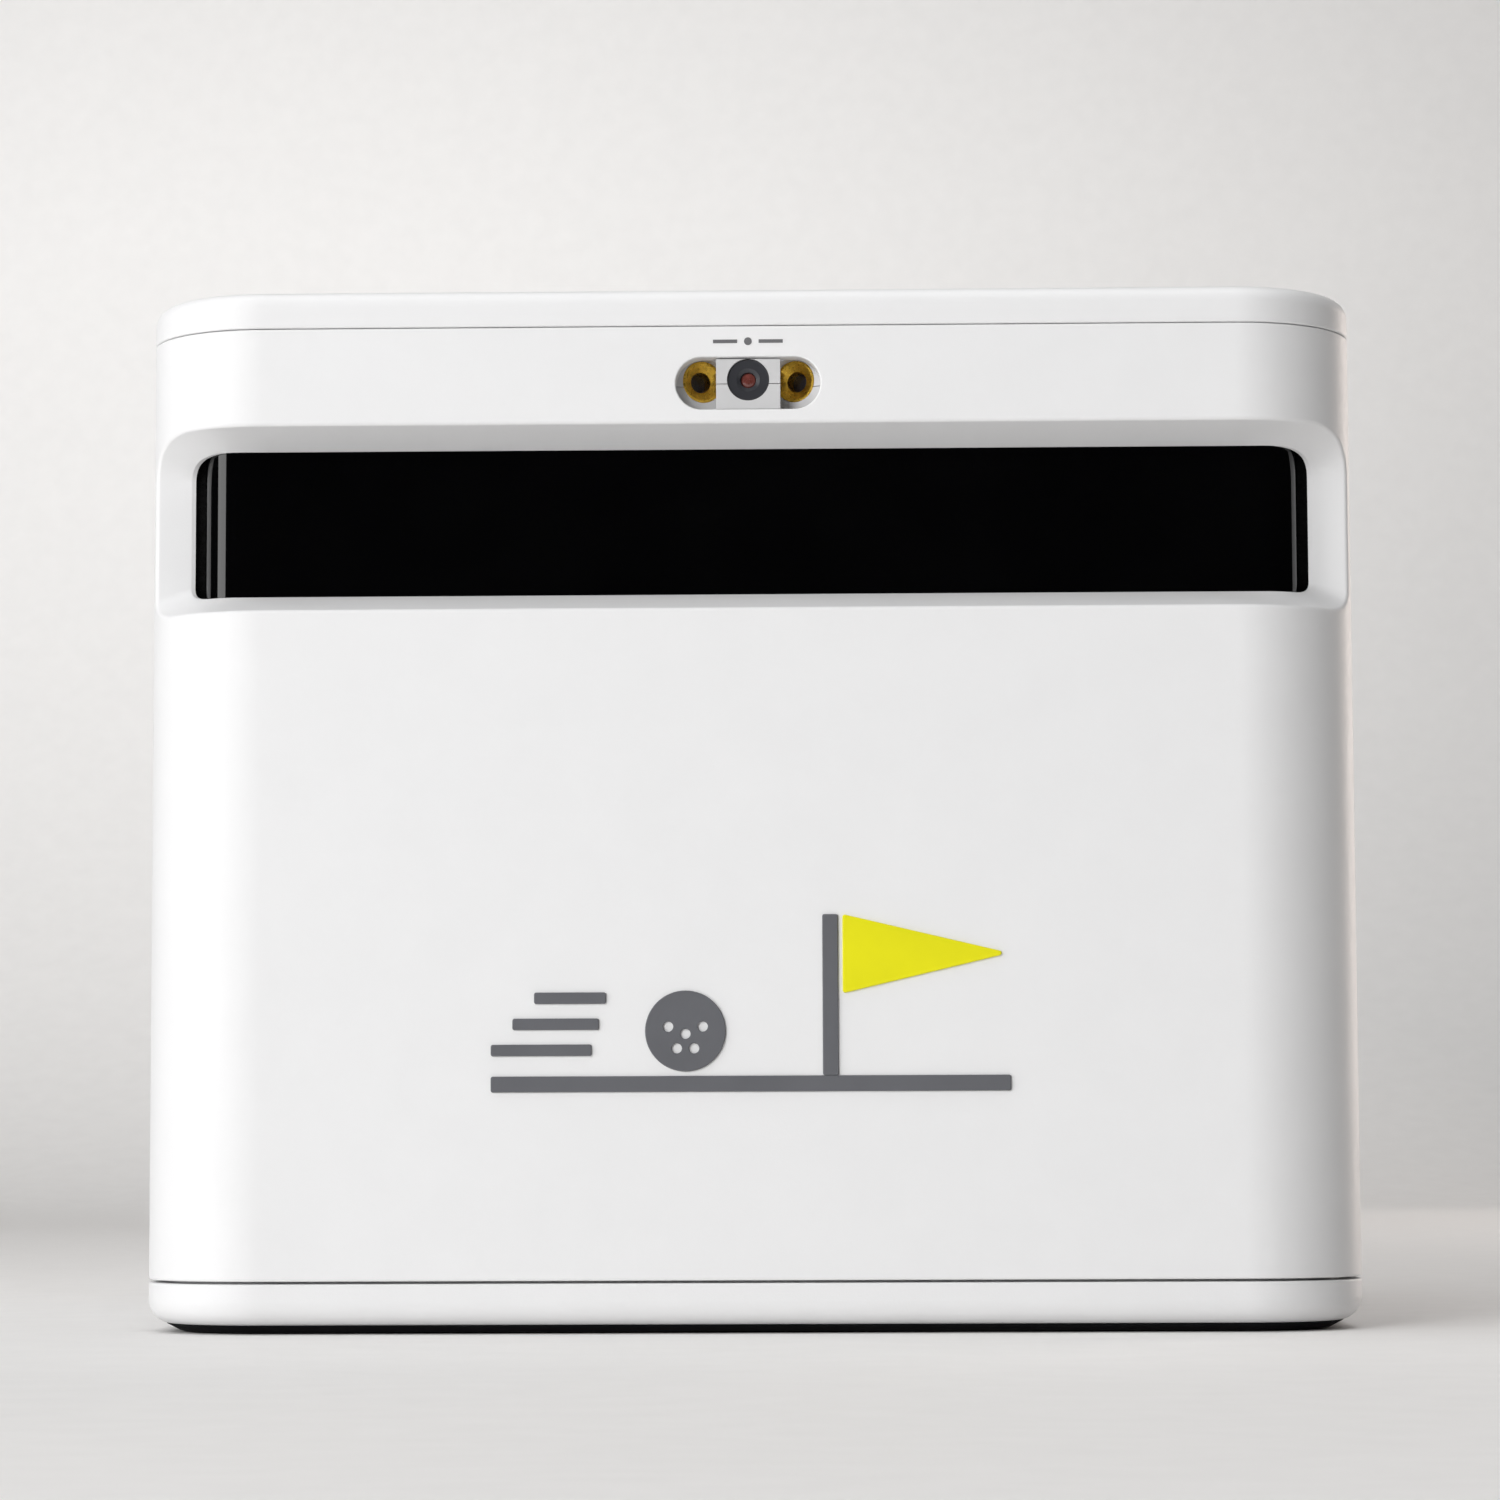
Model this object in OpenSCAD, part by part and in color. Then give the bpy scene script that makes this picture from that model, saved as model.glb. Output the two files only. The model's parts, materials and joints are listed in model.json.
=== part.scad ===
// Launch monitor: a box-shaped camera unit that watches a golf ball at the moment it is struck.
// The front faces -Y, +Z is up, and the origin is on the floor under the middle of the body.
// The body is a sleeve-shaped housing closed by a lid above and a tray below, on a thin base plate.
// Behind a wrap-round smoked window sit two cameras and a strobe on an optical chassis.

/* [Body] */
// Width of the body, left to right
body_w = 171.5; // [165:0.5:185]
// Depth of the body, front to back
body_d = 165; // [158:0.5:175]
// Height of the body with its base plate
body_h = 146; // [146:0.5:150]
// Radius of the four upright corners
corner_r = 17.5; // [16.5:0.5:18.5]
// Wall thickness of the housing, lid and tray
wall = 2.8; // [2.4:0.1:3]
// Height of the lid above its seam
lid_h = 5.4; // [5:0.1:6]
// Radius along the lid's top edge
lid_fillet = 2.6; // [2:0.1:3]
// Height of the tray between the base plate and its seam
tray_h = 5.8; // [5.4:0.1:6]
// Radius along the tray's bottom edge
tray_fillet = 3.4; // [2.5:0.1:3.8]
// Gap at the tray seam
tray_seam = 0.35; // [0.2:0.05:0.4]

/* [Base] */
// Top of the black base plate above the floor
base_top = 1.2; // [1:0.1:1.4]
// How far the base plate's top edge sits inside the body
base_inset = 2.6; // [2:0.1:3]
// How much further in the base plate's bottom edge sits
base_slant = 1.9; // [1:0.1:2.2]
// Diameter of the round rubber pads
pad_d = 16; // [12:1:20]

/* [Window] */
// Height of the clear opening's lower edge
window_low = 103.4; // [103:0.1:104]
// Height of the clear opening's upper edge
window_high = 124.1; // [123.5:0.1:124.3]
// Rise of the sloped surround beyond the opening, above and below
bevel_rise = 2.8; // [2:0.1:3]
// Depth of the opening's edge behind the front face
recess_depth = 7; // [6:0.5:7]
// Depth at which the ends of the recess stop
recess_end = 12.5; // [11.5:0.5:13.5]
// Half of the opening's width
opening_half = 80.3; // [80:0.1:80.6]
// Half of the window's width over its side legs
window_half = 77.9; // [77.5:0.1:78]
// Radius of the window's upright corners
window_r = 5.4; // [5:0.1:6]
// Thickness of the window
window_t = 2.2; // [2:0.1:2.5]

/* [Laser slot] */
// Width of the slot
slot_w = 20.3; // [19.5:0.1:21]
// Height of the slot
slot_h = 7.4; // [7.2:0.1:7.6]
// Height of the slot's centre above the floor
slot_z = 132.4; // [132.3:0.1:132.6]
// Angle at which each laser barrel is toed inwards
laser_toe = 22; // [18:1:24]
// Outer diameter of each laser barrel
barrel_d = 5.9; // [5.5:0.1:6]
// Distance from the middle to each barrel's mouth
barrel_x = 6.5; // [6.4:0.1:6.7]

/* [Controls] */
// Width of the rear panel
panel_w = 88; // [86:1:92]
// Height of the rear panel
panel_h = 30; // [28:1:32]
// Height of the panel's centre above the floor
panel_z = 60; // [56:1:64]
// Diameter of the power button
power_d = 13; // [12:0.5:13.5]
// Diameter of the reset button
reset_d = 3.4; // [3:0.1:4]

/* [Levelling] */
// Distance from the middle to each levelling foot
foot_x = 56; // [54:1:58]
// Diameter of each thumbwheel
wheel_d = 24; // [23:0.5:24]
// Thickness of each thumbwheel
wheel_t = 5; // [4:0.5:5]
// Diameter of the threaded stem of each foot
stem_d = 6; // [5:0.5:6]

/* [Hidden] */
$fn = 64;

// How far a cutting shape runs past the face it cuts
over = 1;
// Thickness of the slices that a tapered shape is stretched between
slice = 0.01;
// Gap between moulded parts that are assembled by hand
fit_gap = 0.15;
// Gap of a part that slides or turns by hand
slide_gap = 0.3;

tray_top = base_top + tray_h;
housing_low = tray_top + tray_seam;
lid_low = body_h - lid_h;
housing_high = lid_low - 0.1;
tray_floor = base_top + 2.4;
skirt_t = 1.6;
skirt_h = 2;

face_low = window_low - bevel_rise;
face_high = window_high + bevel_rise;
frame_low = face_low - 1.7;
frame_high = face_high + 1.5;
frame_back = recess_end + 5;
opening_r = 8;
window_y = recess_depth + 0.3;
window_leg = 17;
window_lap = 2.1;

screw_r = 1.5;
screw_head_r = 2.8;
screw_head_t = 2;
boss_r = 4.5;
boss_x = body_w / 2 - wall - boss_r + 0.5;
lid_boss_y = 45;
tray_boss_y = 22;
tray_boss_z = 10;
lug_low = 128;
lug_high = 138;

pad_t = 0.9;
pad_x = 66;
pad_y = 52;

holder_w = 37;
holder_low = frame_high + 0.15;
holder_high = lid_low - skirt_h - 0.6;
holder_back = 20;
holder_screw_x = 15.5;
holder_screw_y = 8;
nose_w = 9;
nose_depth = 0.8;
barrel_depth = 4.4;
barrel_length = 11;
barrel_rise = 0.9;
sensor_rise = 0.6;
sensor_r = 1.1;
pocket_shift = 1;

emblem_t = 0.4;
emblem_w = 72;
emblem_h = 24.5;
emblem_z = 33.3;
pole_x = 10;
ball_x = -9;
ball_r = 5.6;

panel_t = 2.4;
panel_lip = 2;
panel_face = body_d / 2 - 0.3;
panel_back = panel_face - panel_t;
power_x = -28;
reset_x = -9;
status_x = [3, 10, 17];
port_x = 32;
port_w = 11;
port_h = 7;
port_deep = 6;
io_board_front = 70;
board_t = 1.6;
switch_top = 73.4;
press_gap = 0.9;
collar_deep = 3;
ring_deep = 1.6;
light_r = 1.3;
board_posts = [[-37, 9], [37, -9]];
panel_screw_x = panel_w / 2 - 1.35;
panel_screw_r = 1;

wheel_y = body_d / 2 - 0.4 - wheel_d / 2;
wheel_z = 11.5;
scoop_w = 27;
scoop_low = 9.6;
scoop_high = 23;
scoop_floor = body_d / 2 - 5;
hub_r = 5;
seat_z = 9;
foot_low = 0.4;
stem_low = 1.3;
foot_r = pad_d / 2 - 0.4;
yoke_low = wheel_z + wheel_t + 0.2;

chassis_z = 90;
chassis_t = 3;
chassis_half = 72;
chassis_wall_y = -50;
camera_x = 42;
camera_z = 113.6;
camera_r = 7.5;
camera_front = -68.5;
camera_board_y = -41.6;
post_x = 66;
post_ys = [-64, -30];

main_board_z = 30;
main_board_w = 112;
main_board_d = 92;
standoff_x = 52;
standoff_y = 42;
connector_y = -37;
chip_x = -18;
chip_t = 2.2;

function front(depth) = -body_d / 2 + depth;

// ---- shared shapes ----

// Rectangle with round corners, centred on the origin
module rounded_rect(w, d, r) {
  square([w - 2 * r, d], center = true);
  square([w, d - 2 * r], center = true);
  for (x = [-1, 1], y = [-1, 1])
    translate([x * (w / 2 - r), y * (d / 2 - r)]) circle(r);
}

// Outline of the body seen from above, moved inwards by inset
module body_plan(inset = 0)
  rounded_rect(body_w - 2 * inset, body_d - 2 * inset, corner_r - inset);

module body_slab(low, high, inset = 0)
  translate([0, 0, low]) linear_extrude(high - low) body_plan(inset);

// Plan of the parts that wrap round behind the front: half_w wide each side, its front at depth
module wrap_plan(half_w, depth, r) {
  reach = 60;
  translate([0, front(depth) + reach / 2]) rounded_rect(2 * half_w, reach, r);
}

// Ring for a body corner whose outer lower edge is rounded by fillet
module corner_ring(fillet)
  rotate_extrude() translate([corner_r - fillet, 0]) intersection() {
    circle(fillet, $fn = 32);
    translate([0, -fillet]) square(fillet);
  }

// A plate facing the front or the back: an outline drawn in X and Z, thickened along +Y from y
module upright(y, t)
  translate([0, y + t, 0]) rotate([90, 0, 0]) linear_extrude(t) children();

// Cylinder along Y from y_low to y_high
module rod_y(x, z, r, y_low, y_high)
  translate([x, y_high, z]) rotate([90, 0, 0]) cylinder(r = r, h = y_high - y_low);

module block(low, high)
  translate(low) cube(high - low);

// Screw with a round head, pointing up from its head at z
module screw_up(length) {
  cylinder(r = screw_head_r, h = screw_head_t);
  cylinder(r = screw_r, h = screw_head_t + length);
}

module at_sides(x, y)
  for (side_x = [-1, 1], side_y = [-1, 1])
    translate([side_x * x, side_y * y, 0]) children();

module at_posts()
  for (x = [-post_x, post_x], y = post_ys) translate([x, y, 0]) children();

module on_side(side)
  translate([side * foot_x, wheel_y, 0]) children();

// ---- casing ----

// Housing left standing above or below the opening: from the opening's edge out past the face
module recess_slope(z_lip, direction) {
  past_face = bevel_rise / recess_depth * over;
  hull() {
    translate([0, 0, z_lip]) linear_extrude(slice) wrap_plan(opening_half, recess_depth, opening_r);
    translate([0, 0, z_lip + direction * (bevel_rise + past_face)]) linear_extrude(slice) body_plan(-over);
  }
}

// The recess around the window: sloped above and below, cut straight back at its two ends
module window_recess() {
  end_radius = 5;
  difference() {
    upright(front(-over), recess_end + over)
      translate([0, (face_low + face_high) / 2])
        rounded_rect(body_w + 2 * over, face_high - face_low + 0.3, end_radius);
    recess_slope(window_high, 1);
    recess_slope(window_low, -1);
  }
}

// Thick band of the housing that carries the window
module window_frame()
  intersection() {
    difference() {
      body_slab(frame_low, frame_high);
      translate([0, 0, frame_low - over]) linear_extrude(frame_high - frame_low + 2 * over)
        wrap_plan(opening_half, recess_depth, opening_r);
    }
    block([-body_w, front(-over), frame_low], [body_w, front(frame_back), frame_high]);
  }

module laser_slot(grow = 0)
  translate([0, slot_z]) {
    square([slot_w - slot_h, slot_h + 2 * grow], center = true);
    for (side = [-1, 1]) translate([side * (slot_w - slot_h) / 2, 0]) circle(slot_h / 2 + grow);
  }

module panel_outline(grow = 0)
  translate([0, panel_z]) rounded_rect(panel_w + 2 * grow, panel_h + 2 * grow, 4 + grow);

// Pocket in the rear wall that lets a thumb reach a levelling wheel
module wheel_scoop(grow = 0)
  block([-scoop_w / 2 - grow, scoop_floor - grow, scoop_low - grow],
        [scoop_w / 2 + grow, body_d / 2 + (grow > 0 ? 0 : over), scoop_high + grow]);

module wheel_slot()
  block([-wheel_d / 2 + 0.2, scoop_floor - 4, wheel_z - 0.8],
        [wheel_d / 2 - 0.2, scoop_floor + over, wheel_z + wheel_t + 0.8]);

module housing_bosses() {
  at_sides(boss_x, lid_boss_y) translate([0, 0, lug_low]) cylinder(r = boss_r, h = lug_high - lug_low);
  at_sides(boss_x, tray_boss_y) translate([0, 0, tray_boss_z]) cylinder(r = boss_r, h = 16);
}

module main_housing()
  color("white") difference() {
    union() {
      difference() {
        body_slab(housing_low, housing_high);
        body_slab(housing_low - over, housing_high + over, wall);
      }
      window_frame();
      housing_bosses();
      for (side = [-1, 1]) on_side(side) translate([0, -wheel_y, 0]) wheel_scoop(2);
      upright(panel_back - panel_lip, panel_lip) panel_outline(3);
    }
    window_recess();
    upright(front(-over), wall + 2 * over) laser_slot();
    upright(panel_back, 20) panel_outline(fit_gap);
    upright(panel_back - 10, 20) panel_outline(-panel_lip - 1);
    for (side = [-1, 1]) on_side(side) translate([0, -wheel_y, 0]) {
      wheel_scoop();
      wheel_slot();
    }
    at_sides(boss_x, lid_boss_y) translate([0, 0, lug_low - over])
      cylinder(r = screw_r + 0.2, h = lug_high - lug_low + 2 * over);
    at_sides(boss_x, tray_boss_y) translate([0, 0, tray_boss_z - over])
      cylinder(r = screw_r + 0.05, h = 12);
    for (side = [-1, 1])
      rod_y(side * panel_screw_x, panel_z, panel_screw_r + 0.1,
            panel_back - panel_lip - over, panel_back + over);
  }

// Ring of wall around the body between two heights, for the lid's and the tray's inner lip
module skirt(low, high)
  difference() {
    body_slab(low, high, wall + fit_gap);
    body_slab(low - over, high + over, wall + fit_gap + skirt_t);
  }

module top_lid() {
  inside = body_h - wall;
  color("white") difference() {
    union() {
      difference() {
        hull() at_sides(body_w / 2 - corner_r, body_d / 2 - corner_r) {
          translate([0, 0, lid_low]) cylinder(r = corner_r, h = slice);
          translate([0, 0, body_h - lid_fillet]) mirror([0, 0, 1]) corner_ring(lid_fillet);
        }
        body_slab(lid_low - over, inside, wall);
      }
      skirt(lid_low - skirt_h, inside + 0.5);
      at_sides(boss_x, lid_boss_y) translate([0, 0, lug_high])
        cylinder(r = boss_r - 0.6, h = inside + 0.5 - lug_high);
    }
    at_sides(boss_x, lid_boss_y) translate([0, 0, lug_high - over]) cylinder(r = screw_r + 0.05, h = 6);
  }
}

module bottom_tray() {
  screw_floor = base_top + screw_head_t + 0.2;
  color("white") difference() {
    union() {
      difference() {
        hull() at_sides(body_w / 2 - corner_r, body_d / 2 - corner_r) {
          translate([0, 0, tray_top - slice]) cylinder(r = corner_r, h = slice);
          translate([0, 0, base_top + tray_fillet]) corner_ring(tray_fillet);
        }
        body_slab(tray_floor, tray_top + over, wall);
      }
      skirt(tray_floor - 0.5, tray_top + tray_seam + skirt_h);
      at_sides(boss_x, tray_boss_y) translate([0, 0, base_top])
        cylinder(r = boss_r - 0.8, h = tray_boss_z - base_top);
      for (side = [-1, 1]) on_side(side) translate([0, 0, base_top])
        cylinder(r = hub_r, h = seat_z - base_top);
    }
    at_sides(boss_x, tray_boss_y) translate([0, 0, base_top - over]) {
      cylinder(r = screw_r + 0.2, h = 12);
      cylinder(r = screw_head_r + 0.2, h = over + screw_floor - base_top);
    }
    for (side = [-1, 1]) on_side(side) {
      translate([0, 0, base_top - over]) cylinder(r = stem_d / 2 + 0.06, h = 12);
      translate([0, 0, base_top - over]) cylinder(r = pad_d / 2, h = over + 1.2);
      translate([-scoop_w / 2 - 2.2, 0, tray_top - 0.2]) cube([scoop_w + 4.4, 20, 10]);
    }
  }
}

module base_plate()
  color("black") difference() {
    hull() {
      translate([0, 0, base_top - slice]) linear_extrude(slice) body_plan(base_inset);
      translate([0, 0, 0.2]) linear_extrude(slice) body_plan(base_inset + base_slant);
    }
    at_sides(pad_x, pad_y) cylinder(r = pad_d / 2 + 0.1, h = pad_t);
    for (side = [-1, 1]) on_side(side) cylinder(r = pad_d / 2, h = 3);
  }

module rubber_pads()
  color("dimgray") at_sides(pad_x, pad_y) cylinder(r = pad_d / 2, h = pad_t);

module lid_screws()
  color("silver") at_sides(boss_x, lid_boss_y) translate([0, 0, lug_low - screw_head_t]) screw_up(14);

module tray_screws()
  color("silver") at_sides(boss_x, tray_boss_y) translate([0, 0, base_top + 0.2]) screw_up(16);

// ---- window ----

module window_band(low, high)
  intersection() {
    translate([0, 0, low]) linear_extrude(high - low) children();
    block([-body_w, front(-over), low - over], [body_w, front(window_leg), high + over]);
  }

module window()
  color([0.05, 0.05, 0.06, 0.6]) window_band(window_low - window_lap, window_high + window_lap) difference() {
    wrap_plan(window_half, window_y, window_r);
    wrap_plan(window_half - window_t, window_y + window_t, window_r - window_t);
  }

// Foam seal between the housing's surround and the window, open over the clear part
module window_gasket()
  color("black") difference() {
    window_band(window_low - window_lap, window_high + window_lap) difference() {
      wrap_plan(opening_half - 0.1, recess_depth + 0.05, opening_r);
      wrap_plan(window_half, window_y, window_r);
    }
    block([-body_w, front(-over), window_low], [body_w, front(recess_end + 1), window_high]);
  }

module window_clamp()
  color("dimgray") difference() {
    clamp_t = 2;
    clamp_rim = 3.6;
    inner = window_half - window_t;
    inner_y = window_y + window_t;
    window_band(window_low - window_lap, window_high + window_lap) difference() {
      wrap_plan(inner, inner_y, window_r - window_t);
      wrap_plan(inner - clamp_t, inner_y + clamp_t, window_r - window_t - clamp_t);
    }
    block([-inner + clamp_rim, front(0), window_low - window_lap + clamp_rim],
          [inner - clamp_rim, front(window_leg), window_high + window_lap - clamp_rim]);
  }

// ---- laser slot ----

// Places children at a barrel: local Z runs out of the barrel's mouth
module at_barrel(side)
  translate([side * barrel_x, front(barrel_depth), slot_z + barrel_rise])
    rotate([90, 0, -side * laser_toe]) children();

// Block behind the slot: a sloped pocket on each side of a nose that stands forward
module holder_body()
  difference() {
    union() {
      difference() {
        block([-holder_w / 2, front(wall), holder_low], [holder_w / 2, front(holder_back), holder_high]);
        for (side = [-1, 1]) at_barrel(side) {
          translate([0, 0, -barrel_length]) cylinder(r = barrel_d / 2 + 0.02, h = barrel_length + over);
          translate([side * pocket_shift, -barrel_rise, 0]) cylinder(r = slot_h / 2 + 0.4, h = 10);
        }
      }
      intersection() {
        block([-nose_w / 2, front(nose_depth), slot_z - slot_h],
              [nose_w / 2, front(barrel_depth + 2), slot_z + slot_h]);
        upright(front(0), 10) laser_slot(-fit_gap);
      }
    }
    rod_y(0, slot_z + sensor_rise, barrel_d / 2 + 0.02, front(-over), front(9));
    for (side = [-1, 1]) translate([side * holder_screw_x, front(holder_screw_y), 0])
      cylinder(r = 1.05, h = body_h);
  }

module laser_holder_upper()
  color("lightgray") difference() {
    holder_body();
    block([-holder_w, front(-over), 0], [holder_w, front(holder_back + over), slot_z + 0.05]);
  }

module laser_holder_lower()
  color("lightgray") difference() {
    holder_body();
    block([-holder_w, front(-over), slot_z - 0.05], [holder_w, front(holder_back + over), body_h]);
  }

module holder_screws()
  color("silver") for (side = [-1, 1]) translate([side * holder_screw_x, front(holder_screw_y), 0]) {
    translate([0, 0, holder_low + 0.6]) cylinder(r = 1, h = holder_high - holder_low - 0.6);
    translate([0, 0, holder_high]) cylinder(r = 1.9, h = 1.2);
  }

// Brass tube with a dished mouth, flattened where it passes behind the nose
module laser_barrel(side)
  color("goldenrod") difference() {
    bore_r = 1.45;
    dish_deep = 0.8;
    at_barrel(side) difference() {
      translate([0, 0, -barrel_length]) cylinder(r = barrel_d / 2, h = barrel_length);
      translate([0, 0, 1.5 - barrel_length]) cylinder(r = bore_r, h = barrel_length);
      translate([0, 0, -dish_deep]) cylinder(r1 = bore_r, r2 = barrel_d / 2 - 0.35, h = dish_deep + slice);
    }
    block([-nose_w / 2, front(-over), 0], [nose_w / 2, front(barrel_depth + 2), body_h]);
  }

module laser_lens(side)
  color("darkred") at_barrel(side) translate([0, 0, -4]) cylinder(r = 1.45, h = 1);

module laser_barrel_left() laser_barrel(-1);
module laser_barrel_right() laser_barrel(1);
module laser_lens_left() laser_lens(-1);
module laser_lens_right() laser_lens(1);

module sensor_bezel()
  color("black") difference() {
    rod_y(0, slot_z + sensor_rise, barrel_d / 2, front(nose_depth + 0.3), front(8));
    rod_y(0, slot_z + sensor_rise, sensor_r, front(-over), front(3));
  }

module sensor_filter()
  color("brown") rod_y(0, slot_z + sensor_rise, sensor_r, front(nose_depth + 0.8), front(3));

// ---- front trim ----

module emblem_line(x, z, w, h) translate([x, z]) square([w, h]);

// Grey parts of a golf pictogram: ground line, flag pole, ball and three short bars
module emblem_grey()
  color("dimgray") upright(front(-emblem_t), emblem_t) {
    emblem_line(-emblem_w / 2, emblem_z, emblem_w, 2.2);
    emblem_line(pole_x, emblem_z, 2.2, emblem_h);
    translate([ball_x, emblem_z + 2.2 + ball_r + 0.6]) difference() {
      circle(ball_r);
      for (x = [-1, 0, 1]) translate([x * 2.4, abs(x) - 0.4]) circle(0.7);
      for (x = [-1, 1]) translate([x * 1.2, -2.4]) circle(0.7);
    }
    for (i = [0:2]) emblem_line(-emblem_w / 2 + i * 3, emblem_z + 5 + i * 3.6, 14 - i * 2, 1.6);
  }

module emblem_yellow()
  color("yellow") upright(front(-emblem_t), emblem_t)
    translate([pole_x + 2.8, emblem_z + emblem_h])
      polygon([[0, 0], [emblem_w / 2 - pole_x - 2.8, -5.5], [0, -11]]);

// Small printed aperture symbol above the laser slot: a dot between two dashes
module slot_mark()
  color("gray") upright(front(-0.05), 0.05) translate([0, slot_z + slot_h / 2 + 2.2]) {
    circle(0.55);
    for (side = [-1, 1]) translate([side * 3.2, 0]) square([3.4, 0.5], center = true);
  }

// ---- rear panel and controls ----

module io_panel()
  color([0.15, 0.15, 0.16]) difference() {
    union() {
      upright(panel_back, panel_t) panel_outline();
      block([port_x - port_w / 2 - 1.6, panel_face - port_deep, panel_z - port_h / 2 - 1.6],
            [port_x + port_w / 2 + 1.6, panel_back + over, panel_z + port_h / 2 + 1.6]);
      rod_y(power_x, panel_z, power_d / 2 + 3.4, panel_back - collar_deep, panel_back + over);
      rod_y(reset_x, panel_z, reset_d / 2 + 2, panel_back - collar_deep, panel_back + over);
      for (at = board_posts) rod_y(at[0], panel_z + at[1], 2.2, io_board_front, panel_back + over);
    }
    for (at = board_posts) rod_y(at[0], panel_z + at[1], 1, io_board_front - over, panel_back);
    rod_y(power_x, panel_z, power_d / 2 + 1.3, panel_face - ring_deep, panel_face + over);
    rod_y(power_x, panel_z, power_d / 2 + slide_gap, panel_back - 10, panel_face);
    rod_y(reset_x, panel_z, reset_d / 2 + slide_gap, panel_back - 10, panel_face + over);
    for (x = status_x) rod_y(x, panel_z, light_r + 0.02, panel_back - over, panel_face + over);
    block([port_x - port_w / 2, panel_face - port_deep - over, panel_z - port_h / 2],
          [port_x + port_w / 2, panel_face + over, panel_z + port_h / 2]);
    for (side = [-1, 1])
      rod_y(side * panel_screw_x, panel_z, panel_screw_r + 0.1, panel_back - over, panel_face + over);
  }

// Round push button: a cap whose flange stays behind the panel, with a rod towards its switch
module push_button(x, r, face, flange_rim) {
  cap_back = panel_back - collar_deep - 2;
  rod_y(x, panel_z, r, cap_back, face);
  rod_y(x, panel_z, r + flange_rim, cap_back, panel_back - collar_deep - slide_gap);
  rod_y(x, panel_z, 1.6, switch_top + press_gap, cap_back + over);
}

module power_button()
  color("silver") push_button(power_x, power_d / 2, panel_face + 0.1, 1.4);

module power_ring()
  color([0.8, 0.9, 1, 0.7]) difference() {
    rod_y(power_x, panel_z, power_d / 2 + 1.25, panel_face - ring_deep, panel_face);
    rod_y(power_x, panel_z, power_d / 2 + slide_gap, panel_face - 4, panel_face + over);
  }

module reset_button()
  color("gray") push_button(reset_x, reset_d / 2, panel_face - 0.8, 1);

module status_lights()
  color([0.9, 0.95, 0.9, 0.8]) for (x = status_x) {
    rod_y(x, panel_z, light_r, panel_back, panel_face + 0.1);
    rod_y(x, panel_z, 1.9, panel_back - 1, panel_back);
    rod_y(x, panel_z, 1, io_board_front, panel_back - 1);
  }

module panel_screws()
  color("silver") {
    for (side = [-1, 1])
      rod_y(side * panel_screw_x, panel_z, panel_screw_r, panel_back - panel_lip, panel_face - 0.2);
    for (at = board_posts) {
      rod_y(at[0], panel_z + at[1], 0.95, io_board_front - board_t, io_board_front + 6);
      rod_y(at[0], panel_z + at[1], 2, io_board_front - board_t - 1.4, io_board_front - board_t);
    }
  }

module io_board()
  color("darkgreen") difference() {
    block([-40, io_board_front - board_t, panel_z - 13], [41, io_board_front, panel_z + 13]);
    for (at = board_posts) rod_y(at[0], panel_z + at[1], 1.1, io_board_front - 5, io_board_front + over);
  }

// Small square switch body on the board, with a round plunger facing the panel
module tact_switch(x, size)
  color("dimgray") {
    block([x - size / 2, io_board_front, panel_z - size / 2],
          [x + size / 2, switch_top - 0.7, panel_z + size / 2]);
    rod_y(x, panel_z, 1.5, io_board_front + over, switch_top);
  }

module power_switch() tact_switch(power_x, 6);
module reset_switch() tact_switch(reset_x, 4.5);

module usb_receptacle() {
  shell_w = 7.8;
  shell_h = 3;
  color("silver") difference() {
    block([port_x - shell_w / 2, io_board_front, panel_z - shell_h / 2],
          [port_x + shell_w / 2, panel_face - port_deep + 0.4, panel_z + shell_h / 2]);
    block([port_x - shell_w / 2 + 0.3, io_board_front + 0.5, panel_z - shell_h / 2 + 0.3],
          [port_x + shell_w / 2 - 0.3, panel_face, panel_z + shell_h / 2 - 0.3]);
  }
}

module usb_tongue()
  color("black")
    block([port_x - 2.6, io_board_front + 0.5, panel_z + 0.3],
          [port_x + 2.6, panel_face - port_deep, panel_z + 0.9]);

// ---- levelling feet ----

// Knurled wheel with a bore for the stem; the stem is keyed, so turning the wheel drives it down
module level_wheel()
  color("dimgray") difference() {
    grips = 24;
    union() {
      translate([0, 0, wheel_z]) cylinder(r = wheel_d / 2, h = wheel_t);
      translate([0, 0, seat_z + 0.1]) cylinder(r = hub_r, h = wheel_z - seat_z);
    }
    translate([0, 0, seat_z - over]) cylinder(r = stem_d / 2 + 0.05, h = 20);
    for (i = [0 : grips - 1]) rotate(i * 360 / grips)
      translate([wheel_d / 2 + 0.5, 0, wheel_z - over]) cylinder(r = 1.1, h = wheel_t + 2 * over, $fn = 24);
  }

module level_stem()
  color("silver") {
    disc_t = 0.8;
    stem_h = 21;
    translate([0, 0, stem_low]) cylinder(r = foot_r, h = disc_t);
    translate([0, 0, stem_low]) cylinder(r = stem_d / 2, h = stem_h);
  }

module level_pad()
  color("black") translate([0, 0, foot_low]) cylinder(r = foot_r, h = stem_low - foot_low);

module level_wheel_left() on_side(-1) level_wheel();
module level_wheel_right() on_side(1) level_wheel();
module level_stem_left() on_side(-1) level_stem();
module level_stem_right() on_side(1) level_stem();
module level_pad_left() on_side(-1) level_pad();
module level_pad_right() on_side(1) level_pad();

// Bridges that hold the wheels down on their seats, each standing on two feet on the tray
module level_yokes()
  color("lightgray") for (side = [-1, 1]) on_side(side) difference() {
    union() {
      block([-17, -9, tray_floor], [-14, -3, yoke_low + 3]);
      block([14, -9, tray_floor], [17, -3, yoke_low + 3]);
      block([-17, -9, yoke_low], [17, 4.8, yoke_low + 3]);
    }
    cylinder(r = stem_d / 2 + 0.1, h = 60);
  }

// ---- optics ----

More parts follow.
